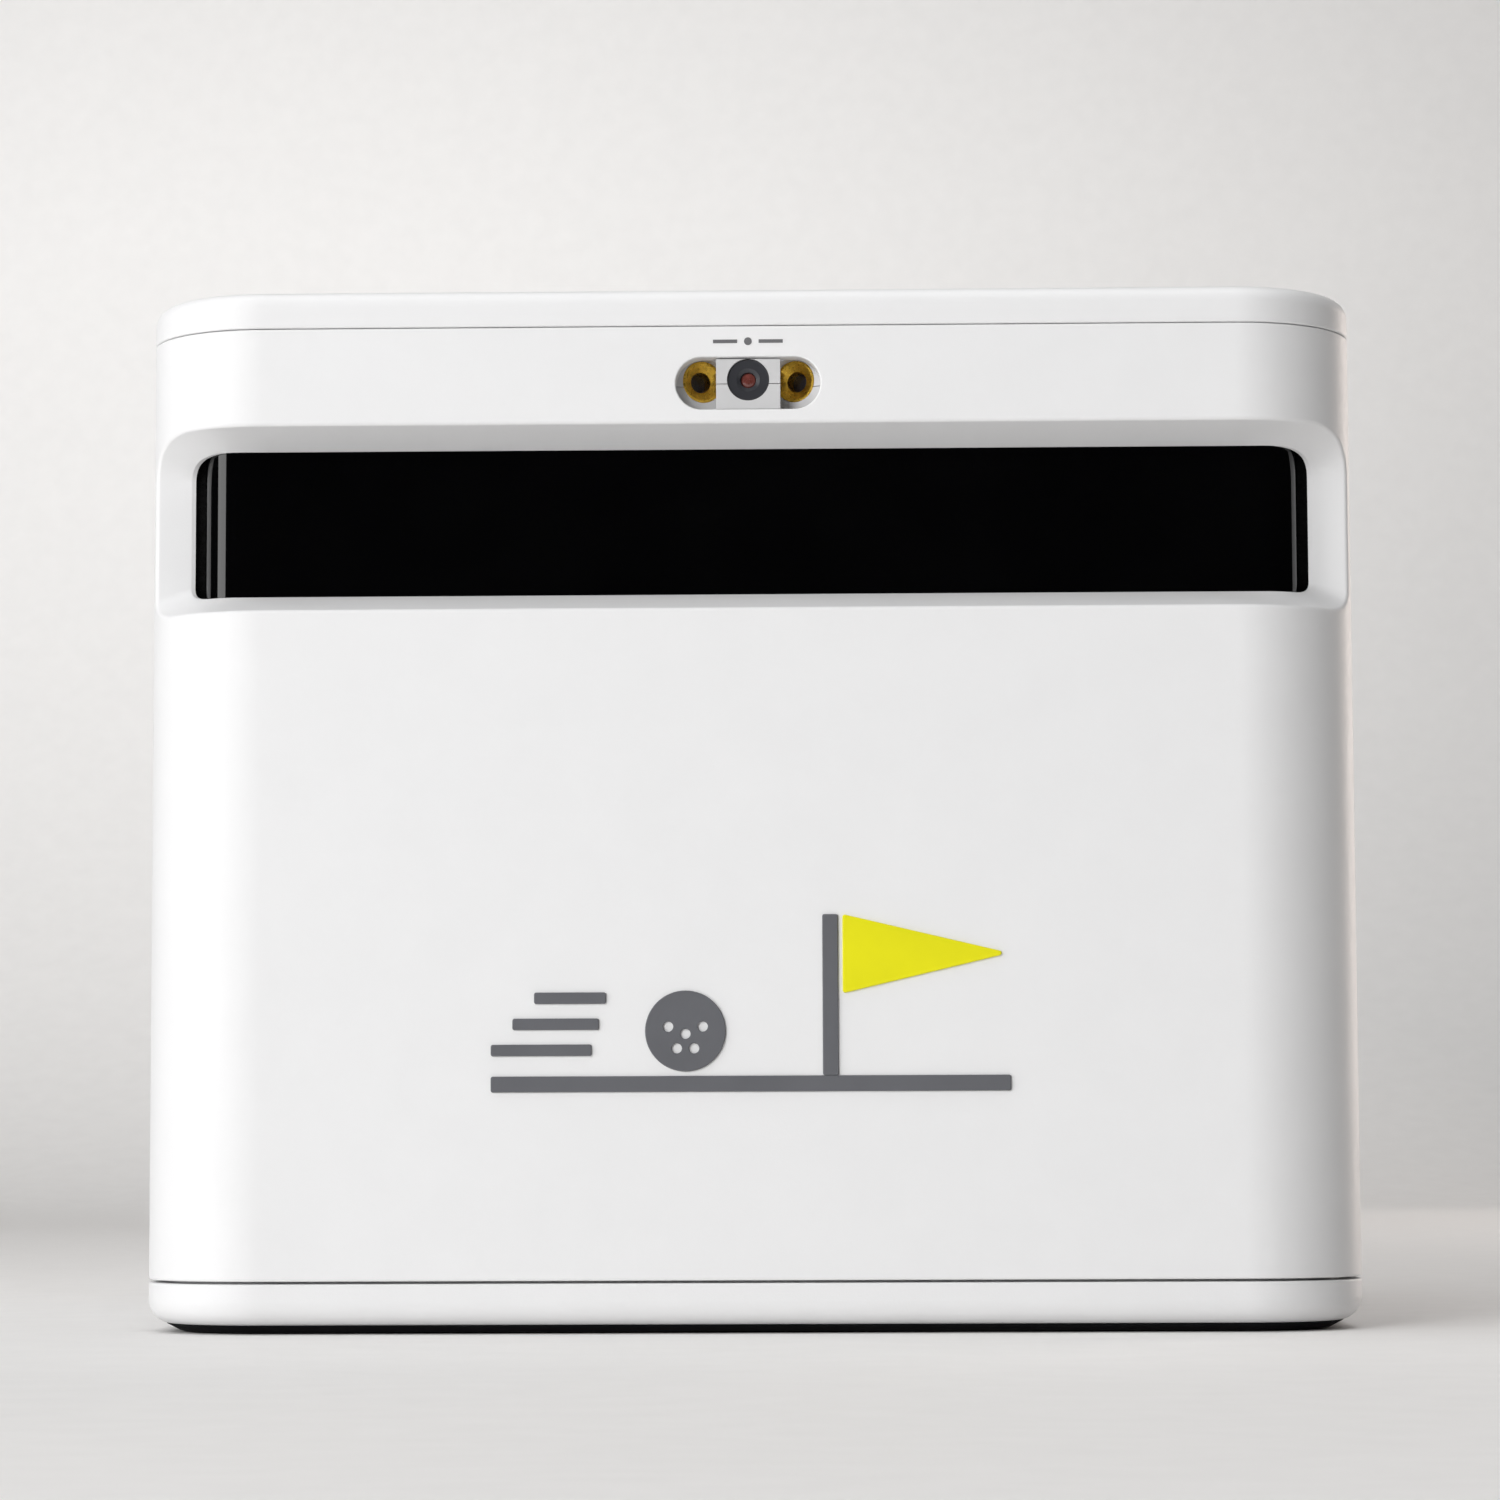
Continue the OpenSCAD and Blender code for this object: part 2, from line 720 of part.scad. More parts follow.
module camera_holes(grow = 0)
  for (side = [-1, 1]) rod_y(side * camera_x, camera_z, camera_r + grow, -90, 0);

module optical_chassis()
  color("gainsboro") difference() {
    union() {
      block([-chassis_half, -68, chassis_z], [chassis_half, -26, chassis_z + chassis_t]);
      block([-chassis_half, chassis_wall_y, chassis_z],
            [chassis_half, chassis_wall_y + chassis_t, camera_z + 13]);
      for (side = [-1 : 1]) {
        rib = side * (chassis_half - 1);
        block([rib - 1, chassis_wall_y, chassis_z], [rib + 1, -30, chassis_z + 22]);
      }
      for (side = [-1, 1], x = [-13, 13], z = [-9, 9])
        rod_y(side * camera_x + x, camera_z + z, 2, chassis_wall_y, camera_board_y);
    }
    camera_holes(0.05);
    at_posts() translate([0, 0, chassis_z - over]) cylinder(r = screw_r + 0.1, h = 10);
  }

module chassis_posts()
  color("silver") at_posts() translate([0, 0, tray_floor]) difference() {
    cylinder(r = 4, h = chassis_z - tray_floor);
    translate([0, 0, chassis_z - tray_floor - 10]) cylinder(r = screw_r + 0.02, h = 10 + over);
  }

module chassis_screws()
  color("silver") at_posts() translate([0, 0, chassis_z + chassis_t]) {
    cylinder(r = screw_head_r, h = screw_head_t);
    translate([0, 0, -10]) cylinder(r = screw_r, h = 10);
  }

module camera_board(side)
  color("darkgreen") difference() {
    block([side * camera_x - 17, camera_board_y, camera_z - 12.5],
          [side * camera_x + 17, camera_board_y + board_t, camera_z + 12.5]);
    for (x = [-15, 15], z = [-10.5, 10.5])
      rod_y(side * camera_x + x, camera_z + z, 0.9, camera_board_y - over, camera_board_y + board_t + over);
  }

module camera_barrel(side)
  color([0.12, 0.12, 0.13]) difference() {
    rod_y(side * camera_x, camera_z, camera_r, camera_front, camera_board_y);
    rod_y(side * camera_x, camera_z, camera_r - 1.2, camera_front - over, camera_front + 5);
    rod_y(side * camera_x, camera_z, camera_r - 3.5, camera_front, camera_board_y - 2);
  }

module camera_lens(side)
  color([0.4, 0.45, 0.6, 0.6]) intersection() {
    rod_y(side * camera_x, camera_z, camera_r - 1.25, camera_front + 0.6, camera_front + 5);
    translate([side * camera_x, camera_front + 0.6 + 12, camera_z]) sphere(12);
  }

module camera_board_left() camera_board(-1);
module camera_board_right() camera_board(1);
module camera_barrel_left() camera_barrel(-1);
module camera_barrel_right() camera_barrel(1);
module camera_lens_left() camera_lens(-1);
module camera_lens_right() camera_lens(1);

module strobe_board()
  color("white") difference() {
    block([-26, chassis_wall_y - board_t, camera_z - 11], [26, chassis_wall_y, camera_z + 11]);
    for (x = [-23.5, 23.5], z = [-8.5, 8.5])
      rod_y(x, camera_z + z, 1.1, chassis_wall_y - board_t - over, chassis_wall_y + over);
  }

module strobe_leds()
  color("lightyellow") for (x = [-17.5 : 7 : 17.5], z = [-6, 0, 6]) {
    rod_y(x, camera_z + z, 2.2, chassis_wall_y - board_t - 1.2, chassis_wall_y - board_t);
    translate([x, chassis_wall_y - board_t - 1.2, camera_z + z]) sphere(1.2, $fn = 24);
  }

// ---- electronics ----

module main_board()
  color("darkgreen") difference() {
    block([-main_board_w / 2, -main_board_d / 2, main_board_z],
          [main_board_w / 2, main_board_d / 2, main_board_z + board_t]);
    at_sides(standoff_x, standoff_y) translate([0, 0, main_board_z - over]) cylinder(r = 1.6, h = 5);
  }

module board_standoffs()
  color("goldenrod") at_sides(standoff_x, standoff_y) translate([0, 0, tray_floor]) {
    cylinder(r = 2.8, h = main_board_z - tray_floor);
    cylinder(r = 1.5, h = main_board_z - tray_floor + board_t + 0.8);
    translate([0, 0, main_board_z + board_t - tray_floor]) cylinder(r = 2.6, h = 1.2);
  }

module chip(x, y, w, d, h)
  translate([x - w / 2, y - d / 2, main_board_z + board_t]) cube([w, d, h]);

module main_chips()
  color([0.1, 0.1, 0.11]) {
    chip(chip_x, 0, 27, 27, chip_t);
    chip(14, -14, 18, 18, 1.6);
    for (y = [2, 14, 26]) chip(14, y, 12, 9, 1.2);
    chip(36, 20, 12, 12, 2);
    chip(36, -6, 16, 8, 3.6);
    for (x = [-42 : 12 : -6]) chip(x, 33, 7, 7, 6);
    for (side = [-1, 1]) chip(side * camera_x, connector_y, 14, 5, 4);
    chip(0, connector_y, 24, 5, 4);
  }

module heat_sink() {
  sink_w = 32;
  sink_base = 2.5;
  fins = 8;
  fin_t = 1.5;
  fin_h = 12.5;
  pitch = (sink_w - fin_t) / (fins - 1);
  color("silver") translate([chip_x - sink_w / 2, -sink_w / 2, main_board_z + board_t + chip_t]) {
    cube([sink_w, sink_w, sink_base]);
    for (i = [0 : fins - 1]) translate([i * pitch, 0, 0]) cube([fin_t, sink_w, sink_base + fin_h]);
  }
}

module wireless_board()
  color("navy") {
    low = main_board_z + board_t;
    block([-55, -30, low], [-41, -10, low + 1]);
    block([-53.5, -22, low + 0.9], [-42.5, -11.5, low + 3]);
  }

module battery_pack() {
  cell_r = 9.3;
  cell_l = 70;
  pitch = 19.5;
  color("royalblue") for (i = [-1 : 1]) translate([-cell_l / 2, i * pitch, tray_floor + 1.6 + cell_r])
    rotate([0, 90, 0]) cylinder(r = cell_r, h = cell_l);
}

// Tray with a low wall and two straps that holds the cells down
module battery_bracket() {
  strap_top = tray_floor + 22.4;
  half = [38, 32];
  wall_t = 2.4;
  floor_t = 1.4;
  rail_h = 9;
  window_w = 12;
  color("gray") difference() {
    block([-half.x, -half.y, tray_floor], [half.x, half.y, strap_top]);
    block([wall_t - half.x, wall_t - half.y, tray_floor + floor_t],
          [half.x - wall_t, half.y - wall_t, strap_top - 1.6]);
    for (x = [-30, -6, 18])
      block([x, -half.y - over, tray_floor + rail_h], [x + window_w, half.y + over, strap_top + over]);
  }
}

// Flat cables from the camera boards over the back of the chassis down to the main board
module ribbon_cables() {
  cable_w = 12;
  back = camera_board_y + board_t;
  connector_top = main_board_z + board_t + 4;
  route = [
    [back, camera_z - 4], [back, chassis_z + 8], [-25, chassis_z + 5], [-22, chassis_z - 2],
    [-30, 46], [connector_y, connector_top + 3], [connector_y, connector_top]
  ];
  other_side = [for (i = [len(route) - 1 : -1 : 0]) route[i] + [0.5, 0.2]];
  color("sandybrown") for (side = [-1, 1]) translate([side * camera_x - cable_w / 2, 0, 0])
    rotate([90, 0, 90]) linear_extrude(cable_w) polygon(concat(route, other_side));
}

main_housing();
top_lid();
bottom_tray();
base_plate();
rubber_pads();
window();
window_gasket();
window_clamp();
laser_holder_upper();
laser_holder_lower();
laser_barrel_left();
laser_barrel_right();
laser_lens_left();
laser_lens_right();
sensor_bezel();
sensor_filter();
holder_screws();
emblem_grey();
emblem_yellow();
slot_mark();
io_panel();
power_button();
power_ring();
reset_button();
status_lights();
usb_receptacle();
usb_tongue();
io_board();
power_switch();
reset_switch();
panel_screws();
level_wheel_left();
level_wheel_right();
level_stem_left();
level_stem_right();
level_pad_left();
level_pad_right();
level_yokes();
optical_chassis();
chassis_posts();
chassis_screws();
camera_board_left();
camera_board_right();
camera_barrel_left();
camera_barrel_right();
camera_lens_left();
camera_lens_right();
strobe_board();
strobe_leds();
main_board();
main_chips();
heat_sink();
wireless_board();
board_standoffs();
battery_pack();
battery_bracket();
ribbon_cables();
lid_screws();
tray_screws();
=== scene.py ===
"""Looks of the launch monitor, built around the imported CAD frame.
Lengths are in millimetres until a mesh is made."""
import json
import math

import bmesh
import bpy
from mathutils import Matrix, Vector
from mathutils.geometry import delaunay_2d_cdt


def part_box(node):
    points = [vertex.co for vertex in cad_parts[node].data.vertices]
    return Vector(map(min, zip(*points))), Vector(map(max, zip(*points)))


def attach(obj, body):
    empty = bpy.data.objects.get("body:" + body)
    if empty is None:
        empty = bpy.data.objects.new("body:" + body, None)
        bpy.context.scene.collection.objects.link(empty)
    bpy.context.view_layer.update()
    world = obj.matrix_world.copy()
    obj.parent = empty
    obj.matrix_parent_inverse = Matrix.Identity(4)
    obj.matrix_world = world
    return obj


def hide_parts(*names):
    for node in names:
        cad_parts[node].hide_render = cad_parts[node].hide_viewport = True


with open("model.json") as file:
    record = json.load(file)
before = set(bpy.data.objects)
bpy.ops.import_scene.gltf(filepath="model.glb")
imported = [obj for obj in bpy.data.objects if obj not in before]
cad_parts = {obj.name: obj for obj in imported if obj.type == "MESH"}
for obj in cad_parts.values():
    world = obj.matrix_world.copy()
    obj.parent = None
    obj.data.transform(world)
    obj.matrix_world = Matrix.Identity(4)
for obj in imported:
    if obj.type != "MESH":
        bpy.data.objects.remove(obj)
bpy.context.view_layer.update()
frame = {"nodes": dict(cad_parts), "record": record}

MM = 0.001
FRONT, BACK, UP, DOWN = Vector((0, -1, 0)), Vector((0, 1, 0)), Vector((0, 0, 1)), Vector((0, 0, -1))
scene = bpy.context.scene


def mm_box(node):
    """Lowest and highest corner of a CAD node, in millimetres."""
    low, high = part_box(node)
    return low / MM, high / MM


def middle(node):
    low, high = mm_box(node)
    return (low + high) / 2


# ---------------------------------------------------------------- mesh tools


class Shell:
    """A mesh that is put together from faces whose corners carry their own normals."""

    def __init__(self):
        self.points, self.index, self.faces, self.normals = [], {}, [], []

    def vertex(self, point):
        key = tuple(round(c * 1e4) for c in point)
        if key not in self.index:
            self.index[key] = len(self.points)
            self.points.append(Vector(point))
        return self.index[key]

    def face(self, corners):
        """Adds a face, turned so that it looks the way its corner normals do."""
        ids, normals = [], []
        for point, normal in corners:
            i = self.vertex(point)
            if i not in ids:
                ids.append(i)
                normals.append(normal)
        if len(ids) < 3:
            return
        looks = Vector((0, 0, 0))
        for i, j in zip(ids, ids[1:] + ids[:1]):
            looks += self.points[i].cross(self.points[j])
        if looks.dot(sum(normals, Vector((0, 0, 0)))) < 0:
            ids.reverse()
            normals.reverse()
        self.faces.append(ids)
        self.normals += normals

    def piece(self, name, body, material, slot, *nodes):
        """Makes the Blender object, which rides on a body and stands for the CAD nodes named."""
        mesh = bpy.data.meshes.new(name)
        mesh.from_pydata([p * MM for p in self.points], [], self.faces)
        mesh.shade_smooth()
        mesh.normals_split_custom_set([n.normalized() for n in self.normals])
        made = bpy.data.objects.new(name, mesh)
        scene.collection.objects.link(made)
        made.data.materials.append(material)
        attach(made, body)
        if nodes:
            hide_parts(*nodes)
        return made


def rounded(path, radii, steps=4):
    """Points and directions along a path of straight runs, with each inner corner rounded by its radius."""
    first = (path[1] - path[0]).normalized()
    out = [(path[0], first)]
    for before, corner, after, radius in zip(path, path[1:], path[2:], radii):
        coming, going = (corner - before).normalized(), (after - corner).normalized()
        turn = coming.angle(going)
        side = (going - coming * coming.dot(going)).normalized()
        if radius == 0:
            out += [(corner, coming), (corner, going)]
            continue
        centre = corner - coming * radius * math.tan(turn / 2) + side * radius
        for k in range(steps + 1):
            a = turn * k / steps
            out.append((centre - side * radius * math.cos(a) + coming * radius * math.sin(a),
                        coming * math.cos(a) + side * math.sin(a)))
    out.append((path[-1], (path[-1] - path[-2]).normalized()))
    return out


def sweep(shell, paths, radii, facing, closed=True, steps=4):
    """Skins the surface that the paths, one at each station round a loop, draw between them.
    facing holds the outward normal at the start of each path."""
    rows = [rounded(p, radii, steps) for p in paths]
    count = len(rows)

    def neighbour(i):
        return i % count if closed else min(max(i, 0), count - 1)

    normals = []
    for i, row in enumerate(rows):
        after, before = rows[neighbour(i + 1)], rows[neighbour(i - 1)]
        line = [(after[k][0] - before[k][0]).cross(along) for k, (point, along) in enumerate(row)]
        line = [n.normalized() if n.length > 1e-6 else None for n in line]
        known = next(n for n in line if n is not None)
        for k, n in enumerate(line):
            if n is not None:
                known = n
            line[k] = known
        lead = next((n for n in line if abs(n.dot(facing[i])) > 0.2), line[0])
        if lead.dot(facing[i]) < 0:
            line = [-n for n in line]
        normals.append(line)
    for i in range(count if closed else count - 1):
        j = neighbour(i + 1)
        for k in range(len(rows[i]) - 1):
            shell.face([(rows[a][b][0], normals[a][b]) for a, b in ((i, k), (j, k), (j, k + 1), (i, k + 1))])
    return rows


def sweep_columns(shell, columns, radii, facing, steps=4):
    """Skins the surface that runs through loops of equally many points, one after the other."""
    sweep(shell, [list(p) for p in zip(*columns)], radii, facing, steps=steps)


def inside(point, loop):
    x, y = point
    hit = False
    for (ax, ay), (bx, by) in zip(loop, loop[1:] + loop[:1]):
        if (ay > y) != (by > y) and x < (bx - ax) * (y - ay) / (by - ay) + ax:
            hit = not hit
    return hit


def flat_part(shell, place, depth, border, holes=(), extra=(), look=1):
    """Triangles between a border and its holes, all given as (u, v) points, laid on a surface at a depth."""
    points, edges = [], []
    for loop in (border, *holes):
        start = len(points)
        points += [Vector(p[:2]) for p in loop]
        edges += [(start + i, start + (i + 1) % len(loop)) for i in range(len(loop))]
    points += [Vector(p) for p in extra]
    flat, _, triangles = delaunay_2d_cdt(points, edges, [], 0, 1e-5)[:3]
    rims = [[tuple(p[:2]) for p in loop] for loop in (border, *holes)]
    boxes = [[f(c) for f in (min, max) for c in zip(*rim)] for rim in rims]
    for triangle in triangles:
        centre = sum((flat[i] for i in triangle), Vector((0, 0))) / 3
        within = [b[0] < centre.x < b[2] and b[1] < centre.y < b[3] and inside(centre, rim)
                  for b, rim in zip(boxes, rims)]
        if within[0] and not any(within[1:]):
            corners = [place(flat[i].x, flat[i].y, depth) for i in triangle]
            shell.face([(p, n * look) for p, n in corners])


def oblong(low, high, corners, runs=(1, 1), arc_steps=8):
    """Loop of (u, v, inward u, inward v) round a rectangle. corners: (ru, rv) at the low-low, high-low,
    high-high and low-high corners. runs: how many parts each straight side is split into."""
    ends = [(low[0], low[1], 1, 1), (high[0], low[1], -1, 1),
            (high[0], high[1], -1, -1), (low[0], high[1], 1, -1)]
    loop = []
    for k, (u, v, in_u, in_v) in enumerate(ends):
        ru, rv = corners[k]
        for step in range(arc_steps + 1):
            a = math.radians(180 + 90 * k + 90 * step / arc_steps)
            slope = Vector((math.cos(a) * rv, math.sin(a) * ru)).normalized()
            loop.append((u + in_u * ru + ru * math.cos(a), v + in_v * rv + rv * math.sin(a),
                         -slope.x, -slope.y))
        here, side = loop[-1], runs[k % 2]
        nu, nv = ends[(k + 1) % 4][:2]
        nru, nrv = corners[(k + 1) % 4]
        in_u, in_v = ends[(k + 1) % 4][2:]
        goal = (nu + in_u * nru, nv) if k % 2 == 0 else (nu, nv + in_v * nrv)
        for step in range(1, side):
            t = step / side
            loop.append((here[0] + (goal[0] - here[0]) * t, here[1] + (goal[1] - here[1]) * t,
                         here[2], here[3]))
    return loop


def disc(u, v, r, steps=12):
    """Loop round a circle."""
    return [(u - r * math.cos(a), v - r * math.sin(a), math.cos(a), math.sin(a))
            for a in (math.tau * k / (4 * steps) for k in range(4 * steps))]


def soft_polygon(points, r, arc_steps=4):
    """Loop round an anticlockwise polygon with rounded corners."""
    loop = []
    corners = [Vector(p) for p in points]
    for before, corner, after in zip(corners[-1:] + corners[:-1], corners, corners[1:] + corners[:1]):
        coming, going = (corner - before).normalized(), (after - corner).normalized()
        turn = coming.angle(going)
        side = Vector((-coming.y, coming.x))
        centre = corner - coming * r * math.tan(turn / 2) + side * r
        for k in range(arc_steps + 1):
            a = turn * k / arc_steps
            inward = side * math.cos(a) - coming * math.sin(a)
            loop.append((*(centre - inward * r), *inward))
    return loop


def shifted(loop, amount):
    """The loop moved inwards, or outwards where the amount is negative."""
    return [(u + tu * amount, v + tv * amount, tu, tv) for u, v, tu, tv in loop]


def on_loop(place, loop, depth, inwards=0.0):
    return [place(u, v, depth)[0] for u, v, _, _ in shifted(loop, inwards)]


def edge_walls(shell, place, loop, start, stops, radii, margin, look=1, steps=4):
    """Walls from a flat part down into a hole, or round a plate's rim.
    start is the depth of the flat part, margin the width of the strip left for its rounded edge,
    and stops the (inwards, depth) corners of the wall."""
    sign = -1 if margin > 0 else 1
    columns = [on_loop(place, loop, start, sign * abs(margin))]
    columns += [on_loop(place, loop, depth, inwards) for inwards, depth in [(0, start), *stops]]
    facing = [place(u, v, start)[1] * look for u, v, _, _ in loop]
    sweep_columns(shell, columns, radii, facing, steps)


def plate(shell, place, border, front, back, edge, holes=(), margin=0.5):
    """A plate between two depths with a rounded front edge. holes: (loop, edge radius, inner stops)."""
    flat_part(shell, place, front, shifted(border, margin), [shifted(h[0], -margin) for h in holes])
    edge_walls(shell, place, border, front, [(0, back)], [edge], -margin)
    flat_part(shell, place, back, border, [shifted(h[0], h[2][-1][0]) for h in holes], look=-1)
    for loop, radius, stops in holes:
        edge_walls(shell, place, loop, front, stops, [radius] + [0] * (len(stops) - 1), margin)


def lathe(shell, origin, axis, profile, radii, segments=48, facing=None, steps=4, bored=False):
    """Turns a profile of (radius, height) corners round an axis.
    A bored profile starts on the wall of a hole."""
    axis = axis.normalized()
    across = axis.orthogonal().normalized()
    other = axis.cross(across)
    paths, outward = [], []
    for k in range(segments):
        a = math.tau * k / segments
        ray = across * math.cos(a) + other * math.sin(a)
        paths.append([origin + ray * r + axis * h for r, h in profile])
        outward.append(facing or (-ray if bored else ray))
    sweep(shell, paths, radii, outward, steps=steps)


def front_place(face_y):
    return lambda u, v, depth: (Vector((u, face_y + depth, v)), FRONT)


def back_place(face_y):
    return lambda u, v, depth: (Vector((u, face_y - depth, v)), BACK)


def floor_place(z):
    return lambda u, v, depth: (Vector((u, v, z + depth)), DOWN)


def top_place(z):
    return lambda u, v, depth: (Vector((u, v, z - depth)), UP)


class Outline:
    """The body seen from above, a rectangle with round corners, unrolled. u runs anticlockwise, with 0 at
    the middle of the front, and the ends of the unrolled strip meet at the middle of the left side."""

    def __init__(self, half_w, half_d, r, y=0.0):
        self.r, self.y, self.half_w = r, y, half_w
        self.flat_x, self.flat_y = half_w - r, half_d - r
        self.arc = math.pi * r / 2
        self.start = -(self.flat_x + self.arc + self.flat_y)
        self.runs = [self.flat_y, 2 * self.flat_x, 2 * self.flat_y, 2 * self.flat_x, self.flat_y]
        self.length = sum(self.runs) + 4 * self.arc

    def spot(self, u):
        """Corner centre, run along the straight from it, and the direction that the body faces there."""
        t = u - self.start
        centres = [(-1, -1), (1, -1), (1, 1), (-1, 1)]
        for k, run in enumerate(self.runs):
            if t <= run or k == 4:
                sx, sy = centres[k - 1]
                ahead = t - (self.runs[0] - 2 * self.flat_y if k == 0 else 0)
                return sx * self.flat_x, sy * self.flat_y, ahead, 180 + 90 * k
            t -= run
            if t <= self.arc:
                sx, sy = centres[k]
                return sx * self.flat_x, sy * self.flat_y, 0, 180 + 90 * k + math.degrees(t / self.r)
            t -= self.arc

    def place(self, u, z, inset):
        cx, cy, ahead, degrees = self.spot(u)
        a = math.radians(degrees)
        normal = Vector((math.cos(a), math.sin(a), 0))
        along = Vector((-normal.y, normal.x, 0))
        point = Vector((cx, cy + self.y, z)) + normal * (self.r - inset) + along * ahead
        return point, normal

    def stations(self, arc_steps):
        """u at both ends of each straight run and evenly round each corner."""
        found, u = [self.start], self.start
        for k in range(4):
            u += self.runs[k]
            found += [u + self.arc * step / arc_steps for step in range(arc_steps + 1)]
            u += self.arc
        return found

    def u_at(self, x):
        """u of the point of the front half that has this x."""
        if abs(x) <= self.flat_x:
            return x
        return math.copysign(self.flat_x + self.r * math.asin((abs(x) - self.flat_x) / self.r), x)

    def back_u(self, x):
        """u of the point of the back half that has this x."""
        return self.length / 2 - self.u_at(x)


# ---------------------------------------------------------------- materials


class Maker:
    """Short ways to build a node material with one principled shader."""

    def __init__(self, name, **sockets):
        self.material = bpy.data.materials.new(name)
        self.material.use_nodes = True
        self.tree = self.material.node_tree
        self.shader = self.tree.nodes["Principled BSDF"]
        for socket, value in sockets.items():
            self.shader.inputs[socket.replace("_", " ")].default_value = value
        self.place = self.tree.nodes.new("ShaderNodeTexCoord").outputs["Object"]

    def node(self, kind, inputs=None, **settings):
        made = self.tree.nodes.new(kind)
        for key, value in settings.items():
            setattr(made, key, value)
        for key, value in (inputs or {}).items():
            if isinstance(value, bpy.types.NodeSocket):
                self.tree.links.new(value, made.inputs[key])
            else:
                made.inputs[key].default_value = value
        return made

    def stretched(self, scale):
        return self.node("ShaderNodeMapping", {"Vector": self.place, "Scale": scale}).outputs["Vector"]

    def noise(self, size, detail=2.0, roughness=0.5, where=None):
        """Noise whose features are about size millimetres across."""
        return self.node("ShaderNodeTexNoise", {
            "Vector": where or self.place, "Scale": 1 / (size * MM), "Detail": detail, "Roughness": roughness,
        }).outputs["Fac"]

    def cells(self, size, where=None, feature="F1"):
        return self.node("ShaderNodeTexVoronoi", {"Vector": where or self.place, "Scale": 1 / (size * MM)},
                         feature=feature).outputs["Distance"]

    def spread(self, value, low, high, start=0.3, end=0.7):
        """Maps a texture value onto a range of numbers."""
        return self.node("ShaderNodeMapRange", {
            "Value": value, "From Min": start, "From Max": end, "To Min": low, "To Max": high,
        }).outputs["Result"]

    def tint(self, value, *stops):
        """Maps a texture value onto colours, given as (position, colour) stops."""
        ramp = self.node("ShaderNodeValToRGB", {"Fac": value})
        while len(ramp.color_ramp.elements) < len(stops):
            ramp.color_ramp.elements.new(0.5)
        for element, (position, colour) in zip(ramp.color_ramp.elements, stops):
            element.position = position
            element.color = (*colour, 1)
        return ramp.outputs["Color"]

    def use(self, socket, value):
        self.tree.links.new(value, self.shader.inputs[socket])
        return self

    def bump(self, height, depth, strength=1.0):
        """Adds relief that is depth millimetres high, on top of any relief already there."""
        inputs = {"Height": height, "Distance": depth * MM, "Strength": strength}
        linked = self.shader.inputs["Normal"].links
        if linked:
            inputs["Normal"] = linked[0].from_socket
        self.use("Normal", self.node("ShaderNodeBump", inputs).outputs["Normal"])
        return self


def shade(colour, amount):
    return tuple(min(1.0, c * amount) for c in colour)


def moulded(name, colour, roughness, grain=0.3, relief=0.02, mottle=0.03, specular=0.5):
    """Moulded plastic with a fine spark-eroded texture."""
    m = Maker(name, Specular_IOR_Level=specular)
    darker, paler = shade(colour, 1 - mottle), shade(colour, 1 + mottle)
    m.use("Base Color", m.tint(m.noise(9, 3), (0.3, darker), (0.7, paler)))
    m.use("Roughness", m.spread(m.noise(grain * 3, 2), roughness - 0.05, roughness + 0.06))
    m.bump(m.noise(grain, 3, 0.6), relief)
    return m.material


def metal(name, colour, roughness, direction=(1, 1, 1), size=0.25, relief=0.006):
    """Metal with fine machining marks, stretched along the axis whose scale is smallest."""
    m = Maker(name, Metallic=1.0)
    marks = m.noise(size, 4, 0.6, m.stretched(direction))
    m.use("Base Color", m.tint(m.noise(3, 2), (0.3, shade(colour, 0.9)), (0.7, shade(colour, 1.06))))
    m.use("Roughness", m.spread(marks, roughness - 0.07, roughness + 0.1))
    m.bump(marks, relief)
    return m.material


def turned(name, colour, roughness, centre, axis, pitch=0.12, relief=0.01):
    """Metal turned on a lathe: fine rings round an axis through the centre."""
    m = Maker(name, Metallic=1.0)
    turn = axis.rotation_difference(UP).to_matrix().to_4x4()
    spot = turn @ Matrix.Translation(-centre * MM)
    local = m.node("ShaderNodeMapping", {
        "Vector": m.place, "Location": spot.to_translation(), "Rotation": spot.to_euler(),
    }).outputs["Vector"]
    apart = m.node("ShaderNodeSeparateXYZ", {"Vector": local})
    flat = m.node("ShaderNodeCombineXYZ", {"X": apart.outputs["X"], "Y": apart.outputs["Y"]})
    radius = m.node("ShaderNodeVectorMath", {0: flat.outputs["Vector"]}, operation="LENGTH").outputs["Value"]
    both = m.node("ShaderNodeMath", {0: radius, 1: apart.outputs["Z"]}, operation="ADD").outputs["Value"]
    phase = math.tau / (pitch * MM)
    turns = m.node("ShaderNodeMath", {0: both, 1: phase}, operation="MULTIPLY").outputs["Value"]
    wave = m.node("ShaderNodeMath", {0: turns}, operation="SINE").outputs["Value"]
    m.use("Base Color", m.tint(m.noise(0.8, 3), (0.3, shade(colour, 0.75)), (0.7, shade(colour, 1.1))))
    m.use("Roughness", m.spread(m.noise(0.3, 3), roughness - 0.06, roughness + 0.12))
    m.bump(wave, relief, 0.5)
    return m.material


def smoked(name):
    """Polished black acrylic with a barely visible ripple and a little dust."""
    m = Maker(name, IOR=1.49)
    darker, paler = (0.0006, 0.0006, 0.0008), (0.0012, 0.0012, 0.0014)
    m.use("Base Color", m.tint(m.noise(14, 2), (0.3, darker), (0.75, paler)))
    m.use("Roughness", m.spread(m.noise(0.12, 2), 0.05, 0.12, 0.62, 0.8))
    m.bump(m.noise(22, 1), 0.01, 0.5)
    return m.material


